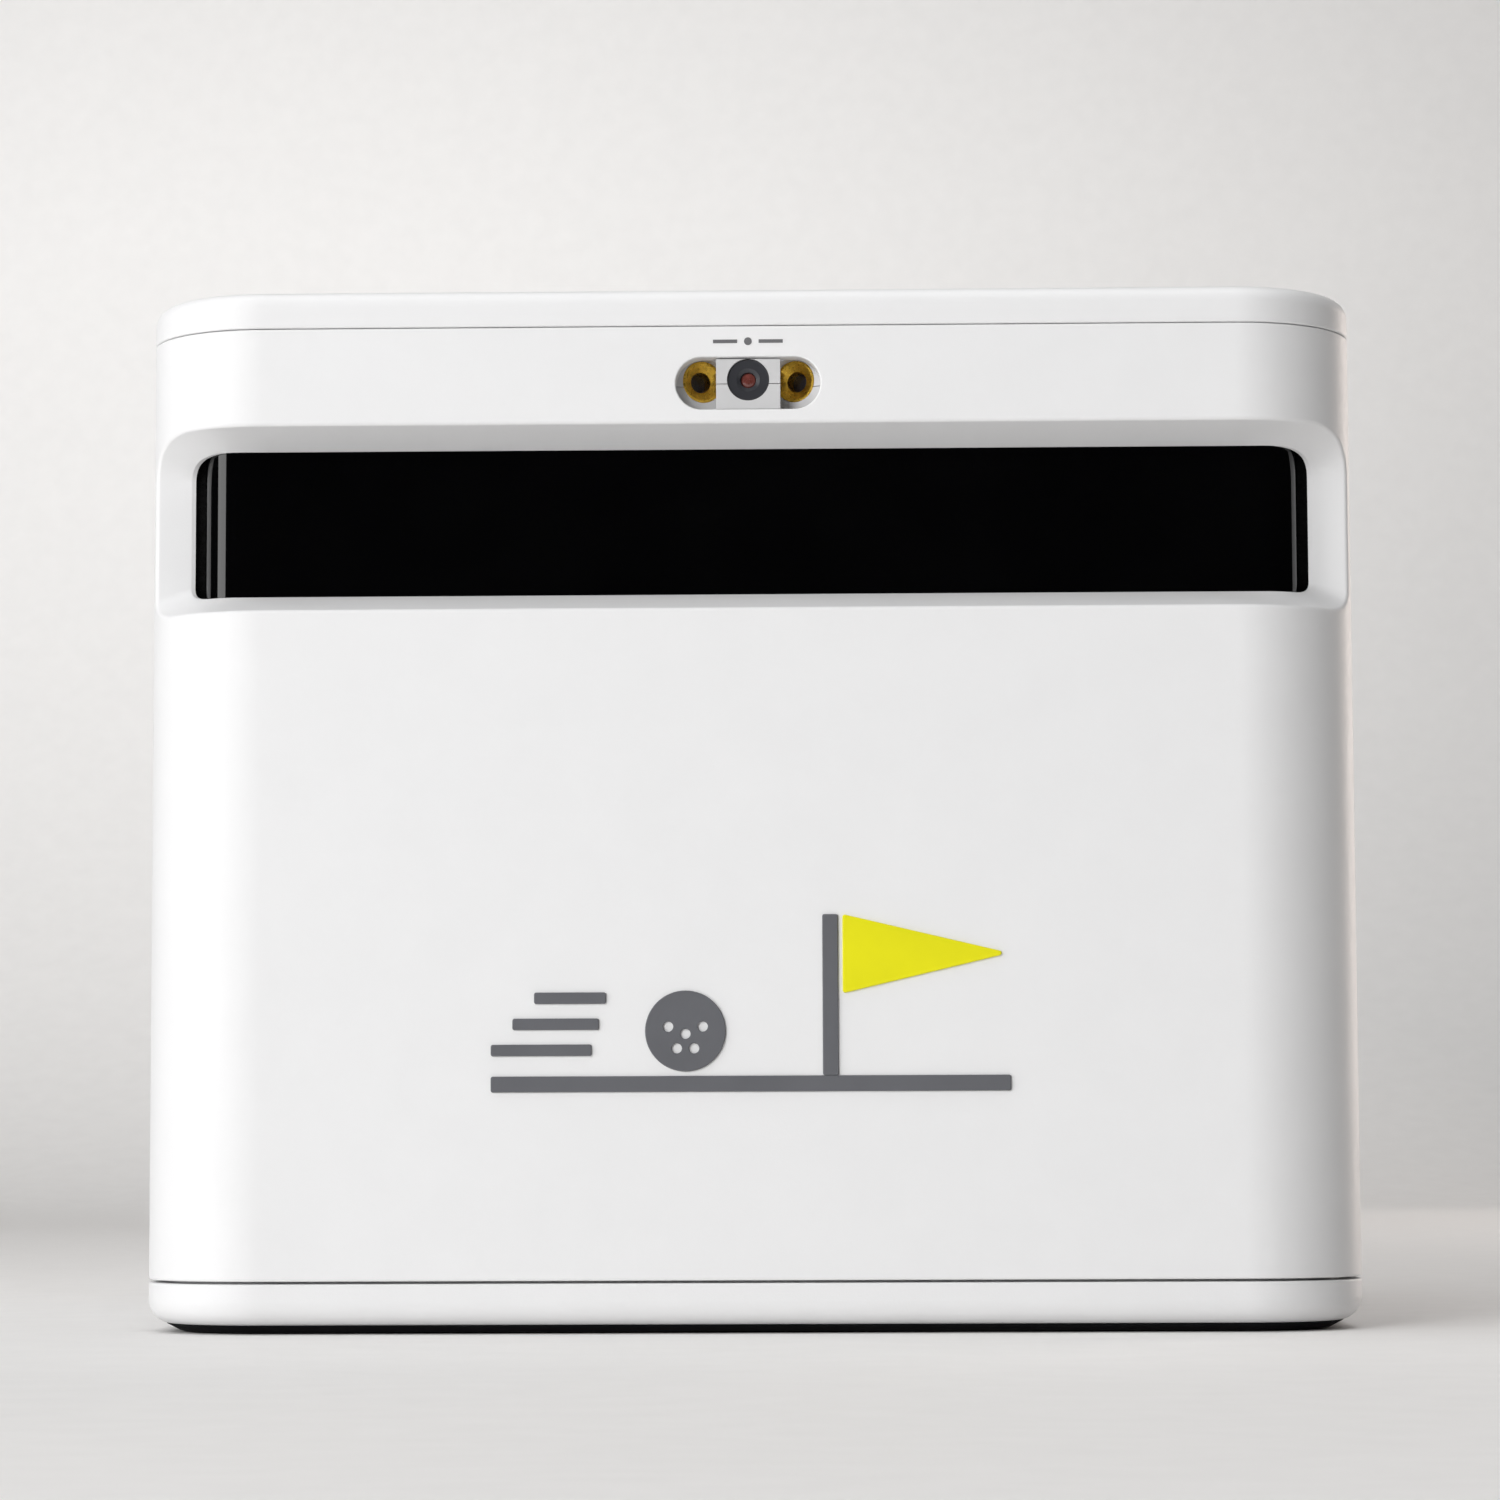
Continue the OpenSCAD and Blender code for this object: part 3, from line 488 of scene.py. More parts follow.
def clear(name, colour, roughness=0.05, seen=0.4):
    """Clear moulded or coated glass, seen through in part."""
    m = Maker(name, Alpha=seen, IOR=1.5)
    m.use("Base Color", m.tint(m.noise(2, 2), (0.3, shade(colour, 0.85)), (0.7, colour)))
    m.use("Roughness", m.spread(m.noise(0.2, 2), roughness, roughness + 0.06, 0.5, 0.8))
    return m.material


def board(name, colour):
    """Solder mask over copper tracks."""
    m = Maker(name, Specular_IOR_Level=0.6)
    tracks = m.cells(3.2, feature="DISTANCE_TO_EDGE")
    m.use("Base Color", m.tint(tracks, (0.0, shade(colour, 1.7)), (0.07, shade(colour, 1.5)), (0.09, colour)))
    m.use("Roughness", m.spread(m.noise(0.6, 2), 0.3, 0.42))
    m.bump(m.spread(tracks, 1, 0, 0.06, 0.1), 0.03)
    return m.material


def foam(name, colour):
    """Open-cell foam or rubber with small pits."""
    m = Maker(name, Roughness=0.9, Specular_IOR_Level=0.2)
    m.use("Base Color", m.tint(m.noise(0.7, 3), (0.3, shade(colour, 0.6)), (0.72, shade(colour, 1.8))))
    m.bump(m.cells(0.35), 0.12)
    return m.material


def dull_filter(name):
    """Dull red coated glass."""
    m = Maker(name, IOR=1.55, Coat_Weight=0.6)
    m.use("Base Color", m.tint(m.noise(0.9, 2), (0.3, (0.10, 0.025, 0.02)), (0.7, (0.2, 0.055, 0.045))))
    m.use("Roughness", m.spread(m.noise(0.2, 2), 0.12, 0.3))
    return m.material


WHITE = (0.83, 0.83, 0.835)
NEAR_BLACK = (0.022, 0.022, 0.024)
BRASS = (0.93, 0.58, 0.08)

shell_white = moulded("shell_white", WHITE, 0.46, grain=0.28, relief=0.012, mottle=0.008, specular=0.45)
base_black = moulded("base_black", (0.007, 0.007, 0.008), 0.7, grain=0.35, mottle=0.2, specular=0.06)
frame_black = moulded("frame_black", (0.02, 0.02, 0.02), 0.6, mottle=0.2)
pad_rubber = foam("pad_rubber", (0.03, 0.03, 0.03))
# Black foam seal whose colour is set far darker than the foam's own: real black foam, partly painted shade of
# the deep gap between the window and its opening.
seal_foam = foam("seal_foam", (0.003, 0.003, 0.003))
window_black = smoked("window_black")
holder_grey = moulded("holder_grey", (0.60, 0.60, 0.605), 0.42, grain=0.12, relief=0.006, mottle=0.03)
sensor_charcoal = moulded("sensor_charcoal", (0.035, 0.036, 0.042), 0.36,
                          grain=0.1, relief=0.004, mottle=0.12)
sensor_red = dull_filter("sensor_red")
lens_clear = clear("lens_clear", (0.05, 0.045, 0.06), seen=0.7)
screw_steel = metal("screw_steel", (0.62, 0.62, 0.64), 0.32)
emblem_grey = moulded("emblem_grey", (0.125, 0.128, 0.14), 0.42, grain=0.15, relief=0.006, mottle=0.05)
emblem_yellow = moulded("emblem_yellow", (0.80, 0.76, 0.004), 0.42, grain=0.15, relief=0.006, mottle=0.04)
print_grey = moulded("print_grey", (0.14, 0.14, 0.145), 0.6, grain=0.08, relief=0.003, mottle=0.15)
panel_dark = moulded("panel_dark", (0.030, 0.030, 0.033), 0.5, grain=0.4, relief=0.03, mottle=0.15)
switch_grey = moulded("switch_grey", (0.2, 0.2, 0.2), 0.45, mottle=0.06)
bracket_grey = moulded("bracket_grey", (0.42, 0.43, 0.44), 0.5, mottle=0.05)
chip_black = moulded("chip_black", NEAR_BLACK, 0.5, grain=0.1, mottle=0.2)
light_guide = clear("light_guide", (0.75, 0.82, 0.85), 0.25, 0.8)
led_clear = clear("led_clear", (0.88, 0.80, 0.45), 0.15, 0.85)
board_green = board("board_green", (0.02, 0.11, 0.05))
board_white = board("board_white", (0.5, 0.5, 0.49))
board_blue = board("board_blue", (0.02, 0.05, 0.18))
chassis_aluminium = metal("chassis_aluminium", (0.72, 0.73, 0.74), 0.34, (1, 12, 12))
barrel_black = metal("barrel_black", (0.04, 0.04, 0.045), 0.38)
wheel_dark = metal("wheel_dark", (0.075, 0.075, 0.08), 0.4, size=0.4)
flex_amber = moulded("flex_amber", (0.55, 0.24, 0.05), 0.35, grain=1.2, mottle=0.12)
cell_wrap = moulded("cell_wrap", (0.02, 0.10, 0.36), 0.3, grain=1.5, relief=0.02, mottle=0.1)
stand_brass = metal("stand_brass", BRASS, 0.3)

FINISHES = {
    "frame_black": frame_black, "seal_foam": seal_foam, "holder_grey": holder_grey, "lens_clear": lens_clear,
    "screw_steel": screw_steel, "print_grey": print_grey, "switch_grey": switch_grey,
    "board_green": board_green, "board_white": board_white, "board_blue": board_blue,
    "chip_black": chip_black, "led_clear": led_clear,
    "bracket_grey": bracket_grey, "chassis_aluminium": chassis_aluminium, "barrel_black": barrel_black,
    "cell_wrap": cell_wrap, "flex_amber": flex_amber, "barrel_brass": stand_brass,
}
slot_of = {part["node"]: part["material_slot"] for part in frame["record"]["subparts"]}

# ---------------------------------------------------------------- camera, floor and light

CAMERA_SPOT = Vector((12.6, -701.4, 26.14))
CAMERA_LENS = 107.14
CAMERA_SENSOR = 36
CAMERA_PITCH = math.radians(5.038)
CAMERA_YAW = math.radians(-1.1585)
CAMERA_ROLL = 0.0038

forward = Vector((math.sin(CAMERA_YAW) * math.cos(CAMERA_PITCH),
                  math.cos(CAMERA_YAW) * math.cos(CAMERA_PITCH),
                  math.sin(CAMERA_PITCH)))
right = forward.cross(UP).normalized()
up = right.cross(forward)
camera_right = right * math.cos(CAMERA_ROLL) - up * math.sin(CAMERA_ROLL)
camera_up = right * math.sin(CAMERA_ROLL) + up * math.cos(CAMERA_ROLL)
camera = bpy.data.objects.new("camera", bpy.data.cameras.new("camera"))
scene.collection.objects.link(camera)
camera.matrix_world = Matrix.LocRotScale(
    CAMERA_SPOT * MM, Matrix((camera_right, camera_up, -forward)).transposed(), None)
camera.data.lens = CAMERA_LENS
camera.data.sensor_width = CAMERA_SENSOR
scene.camera = camera
scene.view_settings.view_transform = "Standard"

SWEEP_HALF_W, SWEEP_FRONT, SWEEP_BEND, SWEEP_R, SWEEP_TOP = 3.0, -3.0, 1.1, 0.5, 2.6
SWEEP_STEPS = 24


def build_sweep():
    """Pale floor that curves up into a backdrop, far enough behind to leave room for a camera at the back."""
    profile = [(SWEEP_FRONT, 0.0)]
    for k in range(SWEEP_STEPS + 1):
        a = math.pi / 2 * k / SWEEP_STEPS
        profile.append((SWEEP_BEND + SWEEP_R * math.sin(a), SWEEP_R * (1 - math.cos(a))))
    profile.append((SWEEP_BEND + SWEEP_R, SWEEP_TOP))
    points = [(x, y, z) for y, z in profile for x in (-SWEEP_HALF_W, SWEEP_HALF_W)]
    faces = [(2 * k, 2 * k + 1, 2 * k + 3, 2 * k + 2) for k in range(len(profile) - 1)]
    mesh = bpy.data.meshes.new("sweep")
    mesh.from_pydata(points, [], faces)
    mesh.shade_smooth()
    sweep_piece = bpy.data.objects.new("sweep", mesh)
    scene.collection.objects.link(sweep_piece)
    paper = moulded("paper", (0.86, 0.85, 0.84), 0.6, grain=2, relief=0.01, mottle=0.012, specular=0.2)
    mesh.materials.append(paper)


build_sweep()


def softbox(name, azimuth, elevation, distance, width, height, glow, colour=(1, 1, 1), aim=(0, -0.03, 0.07),
            spread=180, mirrored=True):
    """Soft light around the object: azimuth 0 is in front and 90 on its right, distances are in metres,
    glow times its area sets its power, and spread is the angle of its beam. The camera doesn't see it,
    and one that isn't mirrored doesn't show in reflections either."""
    a, e = math.radians(azimuth), math.radians(elevation)
    away = Vector((math.sin(a) * math.cos(e), -math.cos(a) * math.cos(e), math.sin(e)))
    data = bpy.data.lights.new(name, "AREA")
    data.shape = "RECTANGLE"
    data.size, data.size_y = width, height
    data.energy = glow * math.pi * width * height
    data.color = colour
    data.spread = math.radians(spread)
    light = bpy.data.objects.new(name, data)
    light.location = Vector(aim) + away * distance
    light.rotation_mode = "QUATERNION"
    light.rotation_quaternion = (-away).to_track_quat("-Z", "Y")
    light.visible_camera = False
    light.visible_glossy = mirrored
    scene.collection.objects.link(light)


softbox("window_light", -27, 16, 1.6, 0.6, 0.9, 8.6, mirrored=False)
softbox("left_wall", -62, 15, 1.5, 0.7, 0.9, 3.8)
softbox("warm_bounce", 137, 8, 1.2, 0.45, 0.6, 5.0, (1.0, 0.89, 0.82))
softbox("ceiling", 0, 88, 1.45, 1.4, 1.2, 2.2)
softbox("backdrop_light", 0, 0, 1.0, 1.3, 0.5, 0.95, aim=(-0.35, 1.6, 0.42), spread=95)


ROOM_GLOW, ROOM_MIRRORED = 0.02, 0.02


def build_world():
    """A dim even room, which reflections see as a darker grey and the camera as a pale wall."""
    world = bpy.data.worlds.new("room")
    scene.world = world
    world.use_nodes = True
    tree = world.node_tree
    tree.nodes.clear()
    backgrounds = []
    for colour, strength in (((0.97, 0.98, 1.0, 1), ROOM_GLOW), ((0.5, 0.5, 0.5, 1), ROOM_MIRRORED),
                             ((0.80, 0.80, 0.79, 1), 1.0)):
        made = tree.nodes.new("ShaderNodeBackground")
        made.inputs["Color"].default_value = colour
        made.inputs["Strength"].default_value = strength
        backgrounds.append(made.outputs[0])
    path = tree.nodes.new("ShaderNodeLightPath")
    mixed = backgrounds[0]
    for ray, background in (("Is Glossy Ray", backgrounds[1]), ("Is Camera Ray", backgrounds[2])):
        mix = tree.nodes.new("ShaderNodeMixShader")
        tree.links.new(path.outputs[ray], mix.inputs[0])
        tree.links.new(mixed, mix.inputs[1])
        tree.links.new(background, mix.inputs[2])
        mixed = mix.outputs[0]
    tree.links.new(mixed, tree.nodes.new("ShaderNodeOutputWorld").inputs["Surface"])


build_world()

# ---------------------------------------------------------------- housing

ARC_STEPS = 24
EDGE = 0.3
MARGIN = 0.6
WALL = 2.8

housing_low, housing_high = mm_box("main_housing")
BODY_HALF_W, BODY_HALF_D = housing_high.x, housing_high.y
body = Outline(BODY_HALF_W, BODY_HALF_D, 17.5)
window_low, window_high = mm_box("window")
WINDOW_LAP = 2.1
OPENING_LOW, OPENING_HIGH = window_low.z + WINDOW_LAP, window_high.z - WINDOW_LAP
RECESS_RISE = 2.75
RECESS_DEPTH = 7.0
OPENING_HALF = 80.3
OPENING_R = 8.0
RECESS_HALF_U = 90.2

opening = Outline(OPENING_HALF, 60, OPENING_R, y=60 - BODY_HALF_D + RECESS_DEPTH)
OPENING_ARC_SHARE = 0.8
OPENING_HALF_U = opening.flat_x + OPENING_ARC_SHARE * opening.arc
OPENING_LAND = 0.6
RECESS_BACK_LAP = 2.2

recess_loop = oblong((-RECESS_HALF_U, OPENING_LOW - RECESS_RISE), (RECESS_HALF_U, OPENING_HIGH + RECESS_RISE),
                     [(7, 3.4), (7, 3.4), (11, 6.6), (11, 6.6)], runs=(120, 12), arc_steps=12)
opening_loop = oblong((-OPENING_HALF_U, OPENING_LOW), (OPENING_HALF_U, OPENING_HIGH),
                      [(5.5, 2.0), (5.5, 2.0), (8, 3.7), (8, 3.7)], runs=(120, 12), arc_steps=12)
slot_middle = (mm_box("laser_holder_upper")[0].z + mm_box("laser_holder_lower")[1].z) / 2
SLOT_W, SLOT_H = 20.3, 7.4
slot_loop = oblong((-SLOT_W / 2, slot_middle - SLOT_H / 2), (SLOT_W / 2, slot_middle + SLOT_H / 2),
                   [(SLOT_H / 2, SLOT_H / 2)] * 4, arc_steps=12)
panel_low, panel_high = mm_box("io_panel")
PANEL_HALF_W, PANEL_HALF_H, PANEL_R = 44.0, 15.0, 4.0
panel_z = (panel_low.z + panel_high.z) / 2
panel_y = panel_high.y
PANEL_GAP = 0.15
PANEL_SEAT, PANEL_FRAME_DEEP, PANEL_LEDGE = 2.75, 4.7, 3
back_middle = body.length / 2
panel_hole = oblong((back_middle - PANEL_HALF_W - PANEL_GAP, panel_z - PANEL_HALF_H - PANEL_GAP),
                    (back_middle + PANEL_HALF_W + PANEL_GAP, panel_z + PANEL_HALF_H + PANEL_GAP),
                    [(PANEL_R, PANEL_R)] * 4)
SCOOP_HALF_W, SCOOP_LOW, SCOOP_HIGH, SCOOP_DEEP = 13.5, 9.6, 23.0, 5.0
SCOOP_R, SCOOP_FLOOR_T, SCOOP_BACK_LAP = 2.2, 1.4, 1.5
WHEEL_SLOT_HALF, WHEEL_SLOT_GAP, WHEEL_SLOT_R = 11.8, 0.8, 0.8
WHEEL_T = 5.0


def scoop_loops(wheel):
    """Loops of a thumb pocket and of the slot in its floor that the wheel comes through."""
    centre = middle(wheel)
    slot_high = mm_box(wheel)[1].z + WHEEL_SLOT_GAP
    slot_low = mm_box(wheel)[1].z - WHEEL_T - WHEEL_SLOT_GAP
    sides = sorted(body.back_u(centre.x + s * SCOOP_HALF_W) for s in (-1, 1))
    pocket = oblong((sides[0], SCOOP_LOW), (sides[1], SCOOP_HIGH), [(SCOOP_R, SCOOP_R)] * 4,
                    runs=(6, 2), arc_steps=6)
    u = body.back_u(centre.x)
    slot = oblong((u - WHEEL_SLOT_HALF, slot_low), (u + WHEEL_SLOT_HALF, slot_high),
                  [(WHEEL_SLOT_R, WHEEL_SLOT_R)] * 4, runs=(6, 2), arc_steps=6)
    return pocket, slot


def rim(shell, z_from, z_edge, radius):
    """The rounded edge of the housing at its upper or lower end, and its flat underside."""
    paths, facing = [], []
    for u in body.stations(ARC_STEPS):
        outer, normal = body.place(u, z_from, 0)
        paths.append([outer, body.place(u, z_edge, 0)[0], body.place(u, z_edge, WALL)[0]])
        facing.append(normal)
    sweep(shell, paths, [radius], facing)


def grid_points(loops, z_low, z_high):
    """Points that keep the skin's triangles on the round of the corners, clear of every hole."""
    found, boxes = [], []
    rows, clear_by = 22, 0.9
    for loop in loops:
        us, zs = [p[0] for p in loop], [p[1] for p in loop]
        boxes.append((min(us) - clear_by, max(us) + clear_by, min(zs) - clear_by, max(zs) + clear_by))
    for u in body.stations(ARC_STEPS)[1:]:
        for row in range(1, rows):
            z = z_low + (z_high - z_low) * row / rows
            if not any(a < u < b and c < z < d for a, b, c, d in boxes):
                found.append((u, z))
    return found


def build_housing():
    shell = Shell()
    z_low, z_high = housing_low.z, housing_high.z
    scoops = [scoop_loops("level_wheel_left"), scoop_loops("level_wheel_right")]
    loops = [recess_loop, slot_loop, panel_hole, *(s[0] for s in scoops)]
    around = body.stations(ARC_STEPS)

    def strip_border(low, high):
        ends = [body.start + body.length]
        return [(u, low) for u in around + ends] + [(u, high) for u in ends + around[::-1]]

    flat_part(shell, body.place, 0, strip_border(z_low + MARGIN, z_high - MARGIN),
              [shifted(loop, -MARGIN) for loop in loops], grid_points(loops, z_low, z_high))
    backs = [shifted(recess_loop, -RECESS_BACK_LAP), slot_loop, shifted(panel_hole, -PANEL_LEDGE),
             *(shifted(s[0], -SCOOP_BACK_LAP) for s in scoops)]
    flat_part(shell, body.place, WALL, strip_border(z_low, z_high), backs,
              grid_points(backs, z_low, z_high), look=-1)
    rim(shell, z_low + MARGIN, z_low, EDGE)
    rim(shell, z_high - MARGIN, z_high, EDGE)

    edge_walls(shell, body.place, slot_loop, 0, [(0, WALL)], [0.25], MARGIN)
    stops = [(0, PANEL_SEAT), (PANEL_LEDGE, PANEL_SEAT), (PANEL_LEDGE, PANEL_FRAME_DEEP),
             (-PANEL_LEDGE, PANEL_FRAME_DEEP), (-PANEL_LEDGE, WALL)]
    edge_walls(shell, body.place, panel_hole, 0, stops, [EDGE, 0, 0, 0, 0], MARGIN)
    for pocket, slot in scoops:
        columns = [on_loop(body.place, pocket, 0, -MARGIN), on_loop(body.place, pocket, 0)]
        facing = [body.place(u, v, 0)[1] for u, v, _, _ in pocket]
        floor_y = BODY_HALF_D - SCOOP_DEEP
        under_y = floor_y - SCOOP_FLOOR_T
        for loop, y, out in ((pocket, floor_y, 0), (slot, floor_y, 0), (slot, under_y, 0),
                             (pocket, under_y, -SCOOP_BACK_LAP)):
            columns.append([Vector((back_middle - u, y, v)) for u, v, _, _ in shifted(loop, out)])
        columns.append(on_loop(body.place, pocket, WALL, -SCOOP_BACK_LAP))
        sweep_columns(shell, columns, [0.6, 1.0, 0.3, 0, 0], facing)

    paths, facing = [], []
    for (u, v, tu, tv), (iu, iv, itu, itv) in zip(recess_loop, opening_loop):
        start, normal = body.place(u - tu * MARGIN, v - tv * MARGIN, 0)
        lip = opening.place(iu, iv, 0)[0]
        land = opening.place(iu, iv, OPENING_LAND)[0]
        behind = body.place(u - tu * RECESS_BACK_LAP, v - tv * RECESS_BACK_LAP, WALL)[0]
        paths.append([start, body.place(u, v, 0)[0], lip, land, behind])
        facing.append(normal)
    sweep(shell, paths, [0.7, 0.35, 0], facing, steps=6)
    return shell.piece("housing_skin", "case", shell_white, "shell_white", "main_housing")


build_housing()

# ---------------------------------------------------------------- lid, tray and base plate

LID_FILLET = 2.6
TRAY_FILLET = 3.4
TRAY_FLOOR_T = 2.4
SKIRT_GAP, SKIRT_T = 0.15, 1.6


def ring_paths(corners):
    """Paths round the body through (inset, z) corners, with the outward normal of each station."""
    paths, facing = [], []
    for u in body.stations(ARC_STEPS):
        paths.append([body.place(u, z, inset)[0] for inset, z in corners])
        facing.append(body.place(u, 0, 0)[1])
    return paths, facing


def cap(shell, inset, z, normal):
    shell.face([(body.place(u, z, inset)[0], normal) for u in body.stations(ARC_STEPS)])


def build_lid():
    shell = Shell()
    low, high = mm_box("top_lid")
    seam = housing_high.z + 0.1
    inner = WALL + SKIRT_GAP
    ceiling = high.z - WALL
    flat_from = LID_FILLET + 0.8
    side_top = seam + 2.2
    corners = [(0, side_top), (0, high.z), (flat_from, high.z)]
    paths, facing = ring_paths(corners)
    sweep(shell, paths, [LID_FILLET], facing, steps=10)
    cap(shell, flat_from, high.z, UP)
    corners = [(0, side_top), (0, seam), (inner, seam), (inner, low.z), (inner + SKIRT_T, low.z),
               (inner + SKIRT_T, ceiling)]
    paths, facing = ring_paths(corners)
    sweep(shell, paths, [EDGE, 0, 0.2, 0.2], facing)
    cap(shell, inner + SKIRT_T, ceiling, DOWN)
    return shell.piece("lid_skin", "case", shell_white, "shell_white", "top_lid")


PAD_R = 8.0
FOOT_HOLE_R = 8.0
STEM_HOLE_R = 3.06
foot_centres = [middle("level_stem_left").xy, middle("level_stem_right").xy]
pads_high = mm_box("rubber_pads")[1]
pad_centres = [(sx * (pads_high.x - PAD_R), sy * (pads_high.y - PAD_R)) for sx in (-1, 1) for sy in (-1, 1)]


def body_loop(inset):
    return [tuple(body.place(u, 0, inset)[0].xy) for u in body.stations(ARC_STEPS)]


def build_tray():
    shell = Shell()
    low, high = mm_box("bottom_tray")
    seam = housing_low.z - 0.35
    inner = WALL + SKIRT_GAP
    tray_floor = low.z + TRAY_FLOOR_T
    place = floor_place(low.z)
    paths, facing = ring_paths([(0, seam - 0.8), (0, low.z), (TRAY_FILLET + 0.5, low.z)])
    sweep(shell, paths, [TRAY_FILLET - 0.001], facing, steps=10)
    paths, facing = ring_paths([(0, seam - 0.8), (0, seam), (inner, seam), (inner, high.z),
                                (inner + SKIRT_T, high.z), (inner + SKIRT_T, tray_floor)])
    sweep(shell, paths, [EDGE, 0, 0.2, 0.2], facing)
    holes = [disc(x, y, FOOT_HOLE_R) for x, y in foot_centres]
    bores = [disc(x, y, STEM_HOLE_R) for x, y in foot_centres]
    flat_part(shell, place, 0, body_loop(TRAY_FILLET + 0.5), [shifted(h, -MARGIN) for h in holes])
    flat_part(shell, place, TRAY_FLOOR_T, body_loop(inner + SKIRT_T), bores, look=-1)
    step, step_deep = FOOT_HOLE_R - STEM_HOLE_R, 1.2
    stops = [(0, step_deep), (step, step_deep), (step, TRAY_FLOOR_T)]
    for hole in holes:
        edge_walls(shell, place, hole, 0, stops, [0.2, 0.2, 0.1], MARGIN)
    return shell.piece("tray_skin", "case", shell_white, "shell_white", "bottom_tray")


def build_base():
    shell = Shell()
    low, high = mm_box("base_plate")
    top_inset = BODY_HALF_W - high.x
    slant = 1.9
    place = floor_place(low.z)
    thick = high.z - low.z
    pads = [disc(x, y, PAD_R + 0.1) for x, y in pad_centres]
    feet = [disc(x, y, FOOT_HOLE_R) for x, y in foot_centres]
    margin, pad_deep = 0.4, 0.7
    foot_inset = top_inset + slant
    paths, facing = ring_paths([(foot_inset + margin, low.z), (foot_inset, low.z), (top_inset, high.z)])
    sweep(shell, paths, [0.25], [DOWN] * len(facing))
    flat_part(shell, place, 0, body_loop(foot_inset + margin), [shifted(h, -margin) for h in pads + feet])
    flat_part(shell, place, thick, body_loop(top_inset), feet, look=-1)
    for hole in feet:
        edge_walls(shell, place, hole, 0, [(0, thick)], [0.2], margin)
    for hole in pads:
        edge_walls(shell, place, hole, 0, [(0, pad_deep)], [0.15], margin)
        flat_part(shell, place, pad_deep, hole)
    return shell.piece("base_skin", "case", base_black, "base_black", "base_plate")


build_lid()
build_tray()
build_base()


def build_pads():
    shell = Shell()
    profile = [(0, 0), (3, 0), (3.3, 0.15), (4.4, 0.15), (4.7, 0), (PAD_R, 0), (PAD_R, pads_high.z),
               (0, pads_high.z)]
    for x, y in pad_centres:
        lathe(shell, Vector((x, y, 0)), UP, profile, [0.1, 0.05, 0.05, 0.1, 0.3, 0.1], facing=DOWN)
    return shell.piece("rubber_feet", "case", pad_rubber, "pad_rubber", "rubber_pads")


build_pads()

# ---------------------------------------------------------------- window

WINDOW_HALF = window_high.x
WINDOW_R, WINDOW_T = 5.4, 2.2
window_plan = Outline(WINDOW_HALF, 60, WINDOW_R, y=60 + window_low.y)


def build_window():
    """One polished sheet bent round both front corners of the chassis."""
    shell = Shell()
    leg_y = window_high.y
    last_u = window_plan.flat_x + window_plan.arc + (leg_y - window_low.y - WINDOW_R)
    steps = 20
    arc_us = [window_plan.flat_x + window_plan.arc * k / steps for k in range(steps + 1)]
    us = [-last_u] + [-u for u in reversed(arc_us)] + arc_us + [last_u]
    low, high = window_low.z, window_high.z
    centre = (low + high) / 2
    corners = [(0, centre), (0, high), (WINDOW_T, high), (WINDOW_T, low), (0, low), (0, centre)]
    paths, facing = [], []
    for u in us:
        paths.append([window_plan.place(u, z, inset)[0] for inset, z in corners])
        facing.append(window_plan.place(u, 0, 0)[1])
    rows = sweep(shell, paths, [0.3, 0.3, 0.3, 0.3], facing, closed=False)
    for row in (rows[0], rows[-1]):
        shell.face([(point, BACK) for point, _ in row])
    return shell.piece("window_glass", "case", window_black, "window_black", "window")


build_window()

# ---------------------------------------------------------------- laser slot parts

TOE = math.radians(22)
BARREL_R = 2.95
BORE_R = 1.45
DISH_R = BARREL_R - 0.35
NOSE_HALF = 4.5


def clipped(piece, x, side):
    """Cuts the piece flat at a plane x, keeping the outer side."""
    bm = bmesh.new()
    bm.from_mesh(piece.data)
    cut = bmesh.ops.bisect_plane(bm, geom=bm.verts[:] + bm.edges[:] + bm.faces[:], plane_co=(x * MM, 0, 0),
                                 plane_no=(side, 0, 0), clear_inner=True)
    edges = [e for e in cut["geom_cut"] if isinstance(e, bmesh.types.BMEdge)]
    bmesh.ops.holes_fill(bm, edges=edges)
    bm.to_mesh(piece.data)
    bm.free()
    return piece


def build_barrel(side, name):
    """Turned brass tube whose dished mouth faces the middle, cut flat beside the nose."""
    shell = Shell()
    node = "laser_barrel_" + name
    low, high = mm_box(node)
    axis = Vector((-side * math.sin(TOE), -math.cos(TOE), 0))
    mouth = Vector((side * 6.5, -BODY_HALF_D + 4.4, (low.z + high.z) / 2))
    length = 11
    profile = [(0, -length + 1.5), (BORE_R, -length + 1.5), (BORE_R, -0.8), (DISH_R, 0), (BARREL_R, 0),
               (BARREL_R, -1.2), (BARREL_R - 0.12, -1.3), (BARREL_R - 0.12, -1.6), (BARREL_R, -1.7),
               (BARREL_R, -length), (0, -length)]
    lathe(shell, mouth, axis, profile, [0, 0.08, 0.06, 0.12, 0, 0, 0, 0, 0.2], facing=axis, segments=64)
    brass = turned("brass_" + name, BRASS, 0.28, mouth, axis)
    piece = shell.piece("barrel_" + name, "case", brass, "barrel_brass", node)
    return clipped(piece, side * (NOSE_HALF + 0.02), side)


build_barrel(-1, "left")
build_barrel(1, "right")


